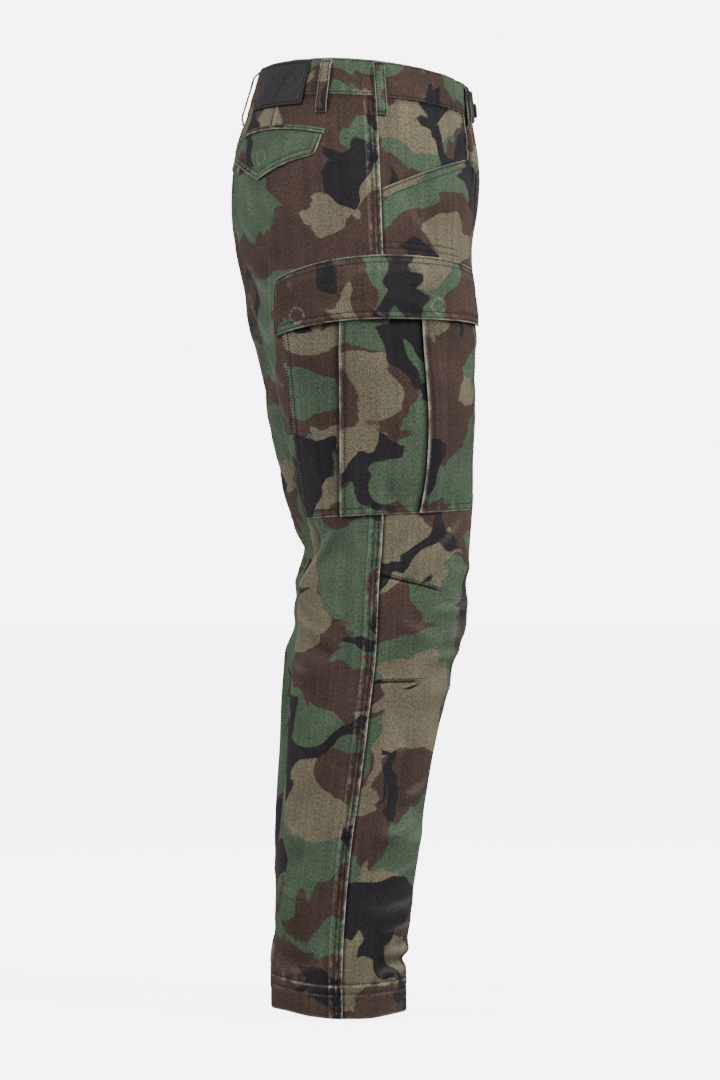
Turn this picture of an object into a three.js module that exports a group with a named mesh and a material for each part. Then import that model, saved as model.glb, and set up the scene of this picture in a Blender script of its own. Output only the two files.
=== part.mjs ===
// Cargo trousers, open and empty, in the shape they take when worn and seen standing.
// Millimetres. +Z is up, the front faces -Y, and the wearer's left is +X.
// The origin is the middle of the waist opening, halfway up the waistband.
import * as THREE from "three";
import { mergeVertices } from "three/addons/utils/BufferGeometryUtils.js";

// Cloth and how closely sewn pieces lie.
const CLOTH = 1.5; // the twill of the four main panels
const SEAM_GAP = 0.3; // between two pieces at a seam
const LAY_GAP = 0.5; // between a panel and what is sewn flat on it
const FELL_WIDTH = 13; // a felled seam's band on the back panel
const FELL_RISE = 0.8;

// Levels down the garment, measured on the side seam.
const WAIST_TOP = 25;
const WAIST_BOTTOM = -16;
const CROTCH = -285;
const HEM_TURN = -993; // the top of the turned-up hem
const HEM = -1030;

// The waistline is highest behind the side seam and falls away from there, most of all towards the
// front. The fall fades out down the hip.
const WAIST_CREST = 75;
const WAIST_FALL = 0.00068; // times the square of the distance from the crest
const TILT_FADE_BOTTOM = -150;
const TILT_FADE = 1.2; // the exponent of that fading
const HEM_BACK_RISE = 10; // the hem's ends, higher than its sides
const HEM_FRONT_RISE = 5;
const CLEFT_HALF_WIDTH = 26;

// Horizontal sections of one side, from the waist to the hem. outer and inner are the side's
// furthest and nearest points from the middle plane: an inner below zero is cut off at that plane.
// seam is the side seam's y, front and back are the depths from it, and square is the exponent
// of the rounded shape, 2 for an ellipse. cleft is the hollow along the centre back seam.
const SECTIONS = [
  { level: 26, outer: 151, inner: -151, seam: 0, front: 117, back: 116, square: 2.2, cleft: 0 },
  { level: -20, outer: 160, inner: -160, seam: -1, front: 120, back: 131, square: 2.25, cleft: 0 },
  { level: -60, outer: 170, inner: -170, seam: -2, front: 123, back: 145, square: 2.35, cleft: 0 },
  { level: -100, outer: 179, inner: -179, seam: -3, front: 124, back: 153, square: 2.4, cleft: 3 },
  { level: -140, outer: 186, inner: -186, seam: -4, front: 121, back: 155, square: 2.4, cleft: 8 },
  { level: -175, outer: 190, inner: -180, seam: -5, front: 115, back: 151, square: 2.35, cleft: 9 },
  { level: -205, outer: 192, inner: -115, seam: -6, front: 111.5, back: 144, square: 2.25, cleft: 7 },
  { level: -242, outer: 193, inner: -45, seam: -6, front: 111.5, back: 136.5, square: 2.2, cleft: 3 },
  { level: -270, outer: 193, inner: -10, seam: -6, front: 111.5, back: 129, square: 2.2, cleft: 0 },
  { level: -285, outer: 192, inner: 0.2, seam: -6, front: 111, back: 124.5, square: 2.15, cleft: 0 },
  { level: -307, outer: 191, inner: 3, seam: -6, front: 110.5, back: 118.5, square: 2.15, cleft: 0 },
  { level: -342, outer: 190, inner: 6, seam: -6.5, front: 110, back: 111.5, square: 2.15, cleft: 0 },
  { level: -400, outer: 187, inner: 12, seam: -7, front: 107, back: 101, square: 2.1, cleft: 0 },
  { level: -464, outer: 183, inner: 20, seam: -7, front: 106, back: 84.5, square: 2.1, cleft: 0 },
  { level: -515, outer: 181, inner: 27, seam: -5, front: 104.5, back: 71.5, square: 2.1, cleft: 0 },
  { level: -553, outer: 180, inner: 32, seam: -2, front: 106, back: 80.5, square: 2.1, cleft: 0 },
  { level: -605, outer: 179, inner: 37, seam: 0, front: 103, back: 82, square: 2.1, cleft: 0 },
  { level: -640, outer: 178, inner: 40, seam: 2, front: 95.5, back: 85, square: 2.1, cleft: 0 },
  { level: -700, outer: 176, inner: 45, seam: 9, front: 87, back: 82.5, square: 2.1, cleft: 0 },
  { level: -765, outer: 174, inner: 50, seam: 17, front: 81, back: 78, square: 2.1, cleft: 0 },
  { level: -845, outer: 171, inner: 54, seam: 28, front: 81, back: 75, square: 2.1, cleft: 0 },
  { level: -925, outer: 169, inner: 57, seam: 35, front: 77.5, back: 71, square: 2.1, cleft: 0 },
  { level: -980, outer: 167, inner: 59, seam: 37.5, front: 76, back: 73, square: 2.1, cleft: 0 },
  { level: -1034, outer: 167, inner: 59, seam: 37, front: 75, back: 74, square: 2.1, cleft: 0 },
];

// The left leg hangs a little ahead of the right one, or behind it where this is below zero.
const STRIDE = [
  { level: -300, ahead: 0 },
  { level: -370, ahead: -4 },
  { level: -490, ahead: -4 },
  { level: -560, ahead: 9 },
  { level: -600, ahead: 9 },
  { level: -635, ahead: 2.5 },
  { level: -760, ahead: 3.5 },
  { level: -850, ahead: 7 },
  { level: -920, ahead: 11 },
  { level: -1034, ahead: 11 },
];

// The largest folds, each a soft ridge or trough along a line on one leg. Positions are a level
// and a distance from the side seam, positive towards the front. A rise below zero is a trough.
const FOLDS = [
  { level: -504, across: -90, toLevel: -536, toAcross: -134, width: 14, rise: -15 },
  { level: -498, across: -60, toLevel: -552, toAcross: -108, width: 8, rise: 3.5 },
  { level: -575, across: -120, toLevel: -590, toAcross: -60, width: 16, rise: 2.5 },
  { level: -612, across: -112, toLevel: -628, toAcross: -48, width: 12, rise: -2.5 },
  { level: -560, across: 84, toLevel: -552, toAcross: 150, width: 12, rise: -3.5 },
  { level: -650, across: 62, toLevel: -643, toAcross: 128, width: 13, rise: -4 },
  { level: -604, across: 40, toLevel: -600, toAcross: 140, width: 22, rise: 3 },
  { level: -742, across: 84, toLevel: -758, toAcross: 20, width: 14, rise: -2.5 },
  { level: -805, across: 100, toLevel: -790, toAcross: 36, width: 12, rise: -3 },
  { level: -832, across: 104, toLevel: -826, toAcross: 30, width: 13, rise: 3 },
  { level: -866, across: -106, toLevel: -850, toAcross: -40, width: 15, rise: -2.5 },
  { level: -905, across: 96, toLevel: -912, toAcross: 22, width: 15, rise: 2.5 },
  { level: -966, across: 112, toLevel: -960, toAcross: 34, width: 10, rise: -5 },
  { level: -958, across: -104, toLevel: -968, toAcross: -30, width: 11, rise: -3 },
  { level: -215, across: -215, toLevel: -262, toAcross: -150, width: 15, rise: -4 },
  { level: -300, across: -205, toLevel: -352, toAcross: -150, width: 16, rise: -3.5 },
  { level: -392, across: -176, toLevel: -430, toAcross: -132, width: 14, rise: -3 },
  { level: -262, across: 190, toLevel: -228, toAcross: 150, width: 13, rise: -3.5 },
];

// Hand pocket: a curved opening cut out of the front panel's corner, with a facing behind it.
const HAND_SEAM_LEVEL = -123;
const HAND_CORNER_LEVEL = -77;
const HAND_REACH = 132; // from the side seam to the opening's front end
const HAND_CURVE = 0.75;
const FACING_TUCK = 16; // how far the facing runs on behind the front panel
const FACING_DROP = CLOTH + 1.2;

// Thigh pocket, a patch over the side seam with two knife pleats, and its flap.
const POCKET_CLOTH = 1;
const POCKET_BACK = -108;
const POCKET_FRONT = 130;
const POCKET_BELOW_FLAP = 22; // from the flap's top seam to the pocket's mouth
const POCKET_BOTTOM = -478;
const POCKET_BOTTOM_SLOPE = 0.045; // it hangs lower towards the back
const PLEATS = [-46, 41]; // where each pleat's folded edge lies
const PLEAT_DEPTH = 16;
const LAYER = 1.4; // from the middle of one layer of a pleat to the next
const POCKET_PUFF = 2.4;
const POCKET_BACK_SPREAD = 11; // its back edge slants out by this at the top
const POCKET_FRONT_SPREAD = 3;
const PLEAT_BOW = 9; // the front pleat's fold bows forward below its middle
const PLEAT_BOW_REACH = 35;
const FLAP_CLOTH = 2;
const FLAP_BACK = -128;
const FLAP_FRONT = 141;
const FLAP_TOP = -195;
const FLAP_DROP = 70;
// How far the flap's upper and lower edges drop from the middle to the back and front ends.
const FLAP_TOP_DROPS = [25, 11];
const FLAP_FOOT_DROPS = [17, 5];

// Back pocket, closed by a pointed flap under a narrow welt.
const SEAT_POCKET_MIDDLE = -138;
const SEAT_POCKET_HALF = 78;
const SEAT_WELT_LEVEL = -53;
const SEAT_WELT_HEIGHT = 5;
const SEAT_ARCH = 7; // how far the welt's ends lie below its middle
const SEAT_LEAN = 0.2; // the flap leans back by this share of its drop
const SEAT_FRONT_LEAN = 0.25; // and its front end by this much more
const SEAT_FLAP_SIDE = 24;
const SEAT_FLAP_POINT = 56;
const SEAT_FLAP_CLOTH = 1.8;

// Waistband, fly, loops, patch and button.
const BAND_CLOTH = 2.8;
const BAND_RISE = 0.8; // the band's face stands this far out from the panels
const BAND_UNDERLAP = 22;
const BAND_OVERLAP = 14;
const LOOP_WIDTH = 12;
const LOOP_CLOTH = 1.4;
const LOOP_TOP = 22.5;
const LOOP_BOTTOM = -37.5;
const LOOP_LEVELS = [LOOP_TOP, 18, 13, 5, -7, -18, -27, -32.5, LOOP_BOTTOM];
const LOOP_SLACK = 2.6;
// The loops' places from the side seam on both sides, and how far each leans for its height.
const LOOP_PLACES = [
  { middle: 5, lean: -0.03 },
  { middle: -55.5, lean: 0.15 },
  { middle: 140, lean: 0 },
];
const FLY_WIDTH = 38;
const FLY_BOTTOM = -192;
const FLY_CURVE_TOP = -150;
const FLY_CLOTH = 1.2;
const PATCH_FROM = -78;
const PATCH_TO = -174;
const PATCH_LEAN = 0.26; // its top leans forward by this share of its height
const PATCH_TOP = 23;
const PATCH_BOTTOM = -27;
const PATCH_LEATHER = 1.6;
const BUTTON_RADIUS = 8.5;
const BUTTON_THICKNESS = 3;

const RING_STEPS = 90; // points along each half of a section, for measuring lengths

const COLOURS = {
  twill: { color: 0x56594a, roughness: 0.92, metalness: 0 },
  leather: { color: 0x2b2a2f, roughness: 0.55, metalness: 0 },
  button: { color: 0x3b382f, roughness: 0.5, metalness: 0 },
};

const clamp = THREE.MathUtils.clamp;
const smoothstep = (x) => THREE.MathUtils.smoothstep(x, 0, 1);

// The sections' values at a level, on a smooth curve through the rows of the table.
function sectionAt(level) {
  const last = SECTIONS.length - 2;
  const found = SECTIONS.findIndex((row, i) => i > 0 && level >= row.level);
  const i = found < 0 ? last : found - 1;
  const [a, b] = [SECTIONS[i], SECTIONS[i + 1]];
  const before = SECTIONS[Math.max(i - 1, 0)];
  const after = SECTIONS[Math.min(i + 2, SECTIONS.length - 1)];
  const t = clamp((level - a.level) / (b.level - a.level), 0, 1);
  const section = {};
  for (const name of Object.keys(a)) {
    const span = b.level - a.level;
    const slopeA = ((b[name] - before[name]) / (b.level - before.level)) * span;
    const slopeB = ((after[name] - a[name]) / (after.level - a.level)) * span;
    section[name] =
      a[name] * (2 * t ** 3 - 3 * t ** 2 + 1) +
      slopeA * (t ** 3 - 2 * t ** 2 + t) +
      b[name] * (3 * t ** 2 - 2 * t ** 3) +
      slopeB * (t ** 3 - t ** 2);
  }
  return section;
}

// One level's section as two polylines from the side seam, with the distance along each.
const rings = new Map();
function ringAt(level) {
  if (rings.has(level)) return rings.get(level);
  const { outer, inner, seam, front, back, square, cleft } = sectionAt(level);
  const centre = Math.max((outer + inner) / 2, 0);
  const half = outer - centre;
  const cut = Math.acos(Math.min(centre / half, 1) ** (square / 2));
  const walk = (depth, way) => {
    const points = [];
    for (let i = 0; i <= RING_STEPS; i++) {
      const angle = Math.PI - ((Math.PI - cut) * i) / RING_STEPS;
      const power = 2 / square;
      const c = Math.cos(angle);
      const x = centre - half * Math.sign(c) * Math.abs(c) ** power;
      const hollow = way > 0 ? cleft * Math.exp(-((x / CLEFT_HALF_WIDTH) ** 2)) : 0;
      const y = seam + way * depth * Math.abs(Math.sin(angle)) ** power - hollow;
      const last = points[i - 1];
      const s = last ? last.s + Math.hypot(x - last.x, y - last.y) : 0;
      points.push({ x, y, s });
    }
    return points;
  };
  const ring = { front: walk(front, -1), back: walk(back, 1) };
  rings.set(level, ring);
  return ring;
}

// How long the front or back half of the section is, from the side seam.
function reach(level, facing) {
  const line = ringAt(level)[facing];
  return line[line.length - 1].s;
}

// How much higher than its level a point lies, near the waist and near the hem.
function tilt(y, level) {
  const up = Math.max((level - TILT_FADE_BOTTOM) / (WAIST_TOP - TILT_FADE_BOTTOM), 0) ** TILT_FADE;
  const { seam, back } = SECTIONS[SECTIONS.length - 1];
  const hemShare = ((y - seam) / back) ** 2;
  const hemFade = smoothstep((HEM_TURN + 60 - level) / 60);
  const waist = -WAIST_FALL * (y - WAIST_CREST) ** 2 * up;
  return waist + (y > seam ? HEM_BACK_RISE : HEM_FRONT_RISE) * hemShare * hemFade;
}

// A point of the left side's outer face, at a level and a share of the way along one half.
function skin(level, share, facing) {
  const line = ringAt(level)[facing];
  const s = clamp(share, 0, 1) * line[line.length - 1].s;
  let i = line.findIndex((p) => p.s >= s);
  i = Math.max(i, 1);
  const [a, b] = [line[i - 1], line[i]];
  const t = (s - a.s) / (b.s - a.s);
  const x = a.x + (b.x - a.x) * t + SEAM_GAP / 2;
  const y = a.y + (b.y - a.y) * t;
  return new THREE.Vector3(x, y, level + tilt(y, level));
}

function normal(level, share, facing) {
  const [dLevel, dShare] = [1.5, 0.01];
  const low = clamp(share - dShare, 0, 1);
  const high = clamp(share + dShare, 0, 1);
  const along = skin(level, high, facing).sub(skin(level, low, facing));
  const down = skin(level - dLevel, share, facing).sub(skin(level + dLevel, share, facing));
  const out = facing === "front" ? along.cross(down) : down.cross(along);
  return out.normalize();
}

// The height of the large folds at a place on the leg. They fade out towards the inner leg.
function foldRise(level, across) {
  let rise = 0;
  for (const fold of FOLDS) {
    const [u, v] = [fold.toAcross - fold.across, fold.toLevel - fold.level];
    const [du, dv] = [across - fold.across, level - fold.level];
    const t = clamp((du * u + dv * v) / (u * u + v * v), -0.2, 1.2);
    const away = Math.hypot(du - t * u, dv - t * v) / fold.width;
    const along = Math.cos(((t - 0.5) / 1.4) * Math.PI);
    rise += fold.rise * along * Math.exp(-away * away);
  }
  return rise;
}

// A point at a level and a distance from the side seam, positive towards the front, standing
// height above the panels' outer face.
function lifted(level, across, height) {
  const facing = across >= 0 ? "front" : "back";
  const share = Math.abs(across) / reach(level, facing);
  const rise = height + foldRise(level, across);
  return skin(level, share, facing).addScaledVector(normal(level, share, facing), rise);
}

// The felled seam's band, which whatever lies across the side seam has to clear.
function overBand(across) {
  const edge = across > 0 ? across : -FELL_WIDTH - across;
  return FELL_RISE * (1 - smoothstep((edge - 2) / 8));
}

// A point round the waist. around is 0 at the centre back, 1 and -1 at the centre front, and
// past those it runs on over the other side.
function roundWaist(level, around, height) {
  const far = Math.abs(around);
  const turned = far > 1 ? 2 - far : far;
  const side = Math.sign(around || 1) * (far > 1 ? -1 : 1);
  const back = reach(level, "back");
  const across = turned * (back + reach(level, "front")) - back;
  const point = lifted(level, across, height);
  point.x *= side;
  return point;
}

// The closed solid between two grids of points with the same rows and columns: the outer face,
// the inner face, and a strip round their edge.
function wall(outer, inner) {
  const [rows, columns] = [outer.length, outer[0].length];
  const points = [...outer.flat(), ...inner.flat()];
  const at = (i, j, face) => face * rows * columns + i * columns + j;
  const index = [];
  const quad = (a, b, c, d) => index.push(a, b, c, a, c, d);
  for (let i = 0; i < rows - 1; i++)
    for (let j = 0; j < columns - 1; j++) {
      quad(at(i, j, 0), at(i + 1, j, 0), at(i + 1, j + 1, 0), at(i, j + 1, 0));
      quad(at(i, j, 1), at(i, j + 1, 1), at(i + 1, j + 1, 1), at(i + 1, j, 1));
    }
  const edge = [];
  for (let j = 0; j < columns - 1; j++) edge.push([0, j]);
  for (let i = 0; i < rows - 1; i++) edge.push([i, columns - 1]);
  for (let j = columns - 1; j > 0; j--) edge.push([rows - 1, j]);
  for (let i = rows - 1; i > 0; i--) edge.push([i, 0]);
  edge.forEach(([i, j], k) => {
    const [m, n] = edge[(k + 1) % edge.length];
    quad(at(i, j, 0), at(m, n, 0), at(m, n, 1), at(i, j, 1));
  });
  const geometry = new THREE.BufferGeometry();
  geometry.setAttribute(
    "position",
    new THREE.Float32BufferAttribute(points.flatMap((p) => p.toArray()), 3),
  );
  geometry.setIndex(index);
  return facingOut(geometry);
}

function signedVolume(geometry) {
  const [a, b, c] = [new THREE.Vector3(), new THREE.Vector3(), new THREE.Vector3()];
  const position = geometry.getAttribute("position");
  const index = geometry.index.array;
  let volume = 0;
  for (let i = 0; i < index.length; i += 3) {
    a.fromBufferAttribute(position, index[i]);
    b.fromBufferAttribute(position, index[i + 1]);
    c.fromBufferAttribute(position, index[i + 2]);
    volume += a.dot(b.cross(c)) / 6;
  }
  return volume;
}

// Turns every face round if the solid is inside out.
function facingOut(geometry) {
  const index = geometry.index.array;
  if (signedVolume(geometry) < 0)
    for (let i = 0; i < index.length; i += 3)
      [index[i + 1], index[i + 2]] = [index[i + 2], index[i + 1]];
  geometry.computeVertexNormals();
  return geometry;
}

// How far ahead of the right leg the left one is at a height.
function strideAt(z) {
  const i = clamp(STRIDE.findIndex((row) => z >= row.level), 1, STRIDE.length - 1);
  const [a, b] = [STRIDE[i - 1], STRIDE[i]];
  return a.ahead + (b.ahead - a.ahead) * smoothstep((z - a.level) / (b.level - a.level));
}

function ahead(geometry) {
  const position = geometry.getAttribute("position");
  for (let i = 0; i < position.count; i++)
    position.setY(i, position.getY(i) - strideAt(position.getZ(i)));
  geometry.computeVertexNormals();
  return geometry;
}

// The same solid on the wearer's right.
function mirrored(geometry) {
  const other = geometry.clone();
  other.applyMatrix4(new THREE.Matrix4().makeScale(-1, 1, 1));
  return facingOut(other);
}

// A wall over levels and distances from the side seam, from functions of its row and column.
function wallOver(levels, columns, acrossAt, outerAt, thickness) {
  const grid = (drop) =>
    levels.map((level) =>
      columns.map((column) => {
        const across = acrossAt(level, column);
        return lifted(level, across, outerAt(level, across) - drop(level, across));
      }),
    );
  return wall(grid(() => 0), grid(thickness));
}

const steps = (from, to, count) =>
  Array.from({ length: count + 1 }, (_, i) => from + ((to - from) * i) / count);

// Levels for the panels: close together at the pocket opening, the crotch, the knee and the hem.
const PANEL_LEVELS = [
  WAIST_BOTTOM - SEAM_GAP,
  ...steps(-46, HAND_CORNER_LEVEL, 1),
  ...steps(-84, HAND_SEAM_LEVEL, 4),
  ...steps(-142, -200, 2),
  ...steps(-220, -262, 3),
  ...[-271, -279, CROTCH, -291, -305],
  ...steps(-330, -470, 4),
  ...steps(-490, -622, 7),
  ...steps(-645, -945, 11),
  ...[-956, -966, -979, HEM_TURN + 1, HEM_TURN - 1, HEM],
];

// How far from the side seam the front panel begins: past the pocket opening, where there is one.
function handEdge(level) {
  const t = (level - HAND_SEAM_LEVEL) / (HAND_CORNER_LEVEL - HAND_SEAM_LEVEL);
  return HAND_REACH * (1 - (1 - clamp(t, 0, 1)) ** HAND_CURVE);
}

// The hem is the panel's end turned up inside, so the wall is twice as thick there.
function panelThickness(level) {
  return level < HEM_TURN ? 2 * CLOTH : CLOTH;
}

function frontPanel() {
  const acrossAt = (level, share) => {
    const from = handEdge(level) + SEAM_GAP / 2;
    const to = reach(level, "front") - SEAM_GAP / 2;
    return from + (to - from) * share;
  };
  return wallOver(PANEL_LEVELS, steps(0, 1, 11), acrossAt, () => 0, panelThickness);
}

// The back panel lies over the front one in the felled side seam, as a raised band.
function backPanel() {
  const band = [0, 1, 2];
  const rest = steps(0, 1, 11);
  const columns = [...band.map((k) => ({ band: k })), ...rest.slice(1).map((share) => ({ share }))];
  const bandAcross = [SEAM_GAP / 2, FELL_WIDTH, FELL_WIDTH + 2.5];
  const acrossAt = (level, column) => {
    if (column.share === undefined) return -bandAcross[column.band];
    const to = reach(level, "back") - SEAM_GAP / 2;
    return -(bandAcross[2] + (to - bandAcross[2]) * column.share);
  };
  const outerAt = (level, across) => (across >= -FELL_WIDTH - 0.01 ? FELL_RISE : 0);
  const thickness = (level, across) => panelThickness(level) + outerAt(level, across);
  return wallOver(PANEL_LEVELS, columns, acrossAt, outerAt, thickness);
}

// The cloth seen through the hand pocket's opening, one layer below the front panel.
function handFacing() {
  const bottom = HAND_SEAM_LEVEL - FACING_TUCK;
  const levels = [...PANEL_LEVELS.filter((level) => level > bottom), bottom];
  const acrossAt = (level, share) => {
    const end = handEdge(level + FACING_TUCK) + FACING_TUCK;
    return SEAM_GAP / 2 + (end - SEAM_GAP / 2) * share;
  };
  return wallOver(levels, steps(0, 1, 9), acrossAt, () => -FACING_DROP, () => 1);
}

// How far the thigh pocket's face stands out, apart from its pleats.
function puff(level, across) {
  const s = clamp((across - POCKET_BACK) / (POCKET_FRONT - POCKET_BACK), 0, 1);
  const t = clamp((level - POCKET_BOTTOM) / (FLAP_TOP - POCKET_BELOW_FLAP - POCKET_BOTTOM), 0, 1);
  return POCKET_PUFF * Math.sin(Math.PI * s) ** 0.6 * Math.sin((Math.PI * (t + 0.08)) / 1.3) ** 0.8;
}

// The same line with more points, where two of them are far apart.
function divided(line, longest = 12) {
  const points = [line[0]];
  line.slice(1).forEach((to, i) => {
    const from = line[i];
    const count = Math.max(Math.round(Math.abs(to.across - from.across) / longest), 1);
    for (let k = 1; k <= count; k++)
      points.push({
        across: from.across + ((to.across - from.across) * k) / count,
        height: from.height + ((to.height - from.height) * k) / count,
      });
  });
  return points;
}

// The pocket's cut across: its cloth's middle line as distances across and heights. Each knife
// pleat is the cloth doubled back under itself, so the line turns round twice.
function pocketLine() {
  const low = LAY_GAP + POCKET_CLOTH / 2;
  const turn = LAYER / 2;
  const line = [{ across: POCKET_BACK, height: low }];
  for (const pleat of PLEATS) {
    const inner = pleat + PLEAT_DEPTH;
    line.push({ across: pleat - 24, height: low });
    line.push({ across: inner - turn, height: low });
    line.push({ across: inner, height: low + turn });
    line.push({ across: inner - turn, height: low + LAYER });
    line.push({ across: pleat + turn, height: low + LAYER });
    line.push({ across: pleat, height: low + 1.5 * LAYER });
    line.push({ across: pleat + turn, height: low + 2 * LAYER });
    line.push({ across: inner + 2, height: low + 2 * LAYER });
    line.push({ across: inner + 17, height: low });
  }
  line.push({ across: POCKET_FRONT - 12, height: low + SEAM_GAP });
  line.push({ across: POCKET_FRONT, height: low + SEAM_GAP });
  return divided(line);
}

// Both faces of a cloth whose middle line is given, half its thickness to each side.
function facesOf(line, thickness) {
  const offset = (way) =>
    line.map((p, i) => {
      const [a, b] = [line[Math.max(i - 1, 0)], line[Math.min(i + 1, line.length - 1)]];
      const into = new THREE.Vector2(p.across - a.across, p.height - a.height).normalize();
      const out = new THREE.Vector2(b.across - p.across, b.height - p.height).normalize();
      const along = into.clone().add(out).normalize();
      const stretch = 1 / Math.max(along.dot(into.lengthSq() ? into : out), 0.75);
      const d = (way * thickness * stretch) / 2;
      return { across: p.across - along.y * d, height: p.height + along.x * d };
    });
  return { outer: offset(1), inner: offset(-1) };
}

// How far a place on the pocket lies from its straight cut: its upper edges spread, and the
// front pleat bows.
function pocketShift(across, share) {
  const back = -POCKET_BACK_SPREAD * (1 - share) * smoothstep((-60 - across) / 46);
  const front = POCKET_FRONT_SPREAD * (1 - share) * smoothstep((across - 84) / 46);
  const away = (across - PLEATS[1] - 4) / PLEAT_BOW_REACH;
  const bow = PLEAT_BOW * Math.sin(Math.PI * share ** 1.6) * Math.exp(-away * away);
  return back + front + bow;
}

function thighPocket() {
  const { outer, inner } = facesOf(pocketLine(), POCKET_CLOTH);
  const grid = (face) =>
    steps(0, 1, 7).map((share) =>
      face.map(({ across, height }) => {
        const top = flapTop(across) - POCKET_BELOW_FLAP;
        const bottom = POCKET_BOTTOM + POCKET_BOTTOM_SLOPE * across;
        const level = top + (bottom - top) * share;
        const place = across + pocketShift(across, share);
        return lifted(level, place, height + puff(level, across) + overBand(place));
      }),
    );
  return wall(grid(outer), grid(inner));
}

// How far along the thigh flap a place is, from -1 at its back end to 1 at its front one.
function alongFlap(across) {
  return (2 * across - FLAP_BACK - FLAP_FRONT) / (FLAP_FRONT - FLAP_BACK);
}

function flapTop(across) {
  const t = alongFlap(across);
  return FLAP_TOP - FLAP_TOP_DROPS[t < 0 ? 0 : 1] * t * t;
}

function flapFoot(across) {
  const t = alongFlap(across);
  return FLAP_TOP - FLAP_DROP - FLAP_FOOT_DROPS[t < 0 ? 0 : 1] * t * t;
}

// The flap runs from the leg's surface out over the pleats, and hangs clear of them.
function thighFlap() {
  const clear = LAY_GAP + POCKET_CLOTH + 2 * LAYER + LAY_GAP;
  const drops = [0, 0.1, 0.22, 0.36, 0.56, 0.78, 1];
  const columns = steps(FLAP_BACK, FLAP_FRONT, 20);
  const grid = (thickness) =>
    drops.map((drop) =>
      columns.map((across) => {
        const top = flapTop(across);
        const level = top + (flapFoot(across) - top) * drop;
        const opened = smoothstep(drop / 0.28);
        const out = LAY_GAP + (clear - LAY_GAP + puff(level, across)) * opened;
        return lifted(level, across, out + overBand(across) + thickness);
      }),
    );
  return wall(grid(FLAP_CLOTH), grid(0));
}

function seatWelt() {
  const from = SEAT_POCKET_MIDDLE - SEAT_POCKET_HALF - 2;
  const to = SEAT_POCKET_MIDDLE + SEAT_POCKET_HALF + 2;
  const grid = (height) =>
    steps(SEAT_WELT_HEIGHT, 0, 2).map((up) =>
      steps(from, to, 14).map((across) => lifted(seatLine(across) + up, across, height)),
    );
  return wall(grid(LAY_GAP + SEAT_FLAP_CLOTH + 0.6), grid(LAY_GAP));
}

// The level of the welt's lower edge, which is arched.
function seatLine(across) {
  const t = (across - SEAT_POCKET_MIDDLE) / SEAT_POCKET_HALF;
  return SEAT_WELT_LEVEL - SEAT_ARCH * t * t;
}

// A leaning flap with a lower edge that comes to a point in the middle.
function seatFlap() {
  const from = SEAT_POCKET_MIDDLE - SEAT_POCKET_HALF;
  const to = SEAT_POCKET_MIDDLE + SEAT_POCKET_HALF;
  const grid = (thickness) =>
    steps(0, 1, 5).map((drop) =>
      steps(from, to, 14).map((across) => {
        const t = (across - SEAT_POCKET_MIDDLE) / SEAT_POCKET_HALF;
        const hang = SEAT_FLAP_POINT + (SEAT_FLAP_SIDE - SEAT_FLAP_POINT) * Math.abs(t);
        const lean = (SEAT_LEAN + SEAT_FRONT_LEAN * Math.max(t, 0)) * hang * drop;
        const level = seatLine(across) - SEAM_GAP - hang * drop;
        return lifted(level, across - lean, LAY_GAP + 0.5 * drop + thickness);
      }),
    );
  return wall(grid(SEAT_FLAP_CLOTH), grid(0));
}

// The waistband goes once round from its underlap, and its left end laps over its right one.
function waistband() {
  const halfGirth = reach(0, "back") + reach(0, "front");
  const from = -1 - BAND_UNDERLAP / halfGirth;
  const to = 1 + BAND_OVERLAP / halfGirth;
  const climb = (around) => (BAND_CLOTH + SEAM_GAP) * smoothstep((around - 0.89) / 0.07);
  const grid = (height) =>
    [WAIST_TOP, WAIST_TOP - 3, 0, WAIST_BOTTOM].map((level) =>
      steps(from, to, 60).map((around) => roundWaist(level, around, height + climb(around))),
    );
  return wall(grid(BAND_RISE), grid(BAND_RISE - BAND_CLOTH));
}

// A belt loop is a strip sewn down at its two ends, with room behind it for a belt.
function beltLoop({ middle, lean }) {
  const outerAt = (level) => {
    const slack = smoothstep((LOOP_TOP - level) / 9) * smoothstep((level - LOOP_BOTTOM) / 9);
    return BAND_RISE + SEAM_GAP + LOOP_SLACK * slack + LOOP_CLOTH;
  };
  const half = LOOP_WIDTH / 2;
  const acrossAt = (level, offset) => middle + offset + lean * level;
  return wallOver(LOOP_LEVELS, steps(-half, half, 2), acrossAt, outerAt, () => LOOP_CLOTH);
}

// The loop at the centre back crosses the middle plane, so it is laid out round the waist.
function centreLoop() {
  const grid = (thickness) =>
    LOOP_LEVELS.map((level) => {
      const slack = smoothstep((LOOP_TOP - level) / 9) * smoothstep((level - LOOP_BOTTOM) / 9);
      const height = BAND_RISE + SEAM_GAP + (LOOP_SLACK + 1) * slack + thickness;
      const halfGirth = reach(level, "back") + reach(level, "front");
      const half = LOOP_WIDTH / 2 / halfGirth;
      return [-half, 0, half].map((around) => roundWaist(level, around, height));
    });
  return wall(grid(LOOP_CLOTH), grid(0));
}

function leatherPatch() {
  const levels = steps(PATCH_TOP, PATCH_BOTTOM, 4);
  const outerAt = () => BAND_RISE + LAY_GAP + PATCH_LEATHER;
  const columns = steps(PATCH_FROM, PATCH_TO, 8);
  const acrossAt = (level, column) => column + PATCH_LEAN * level;
  return wallOver(levels, columns, acrossAt, outerAt, () => PATCH_LEATHER);
}

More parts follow.
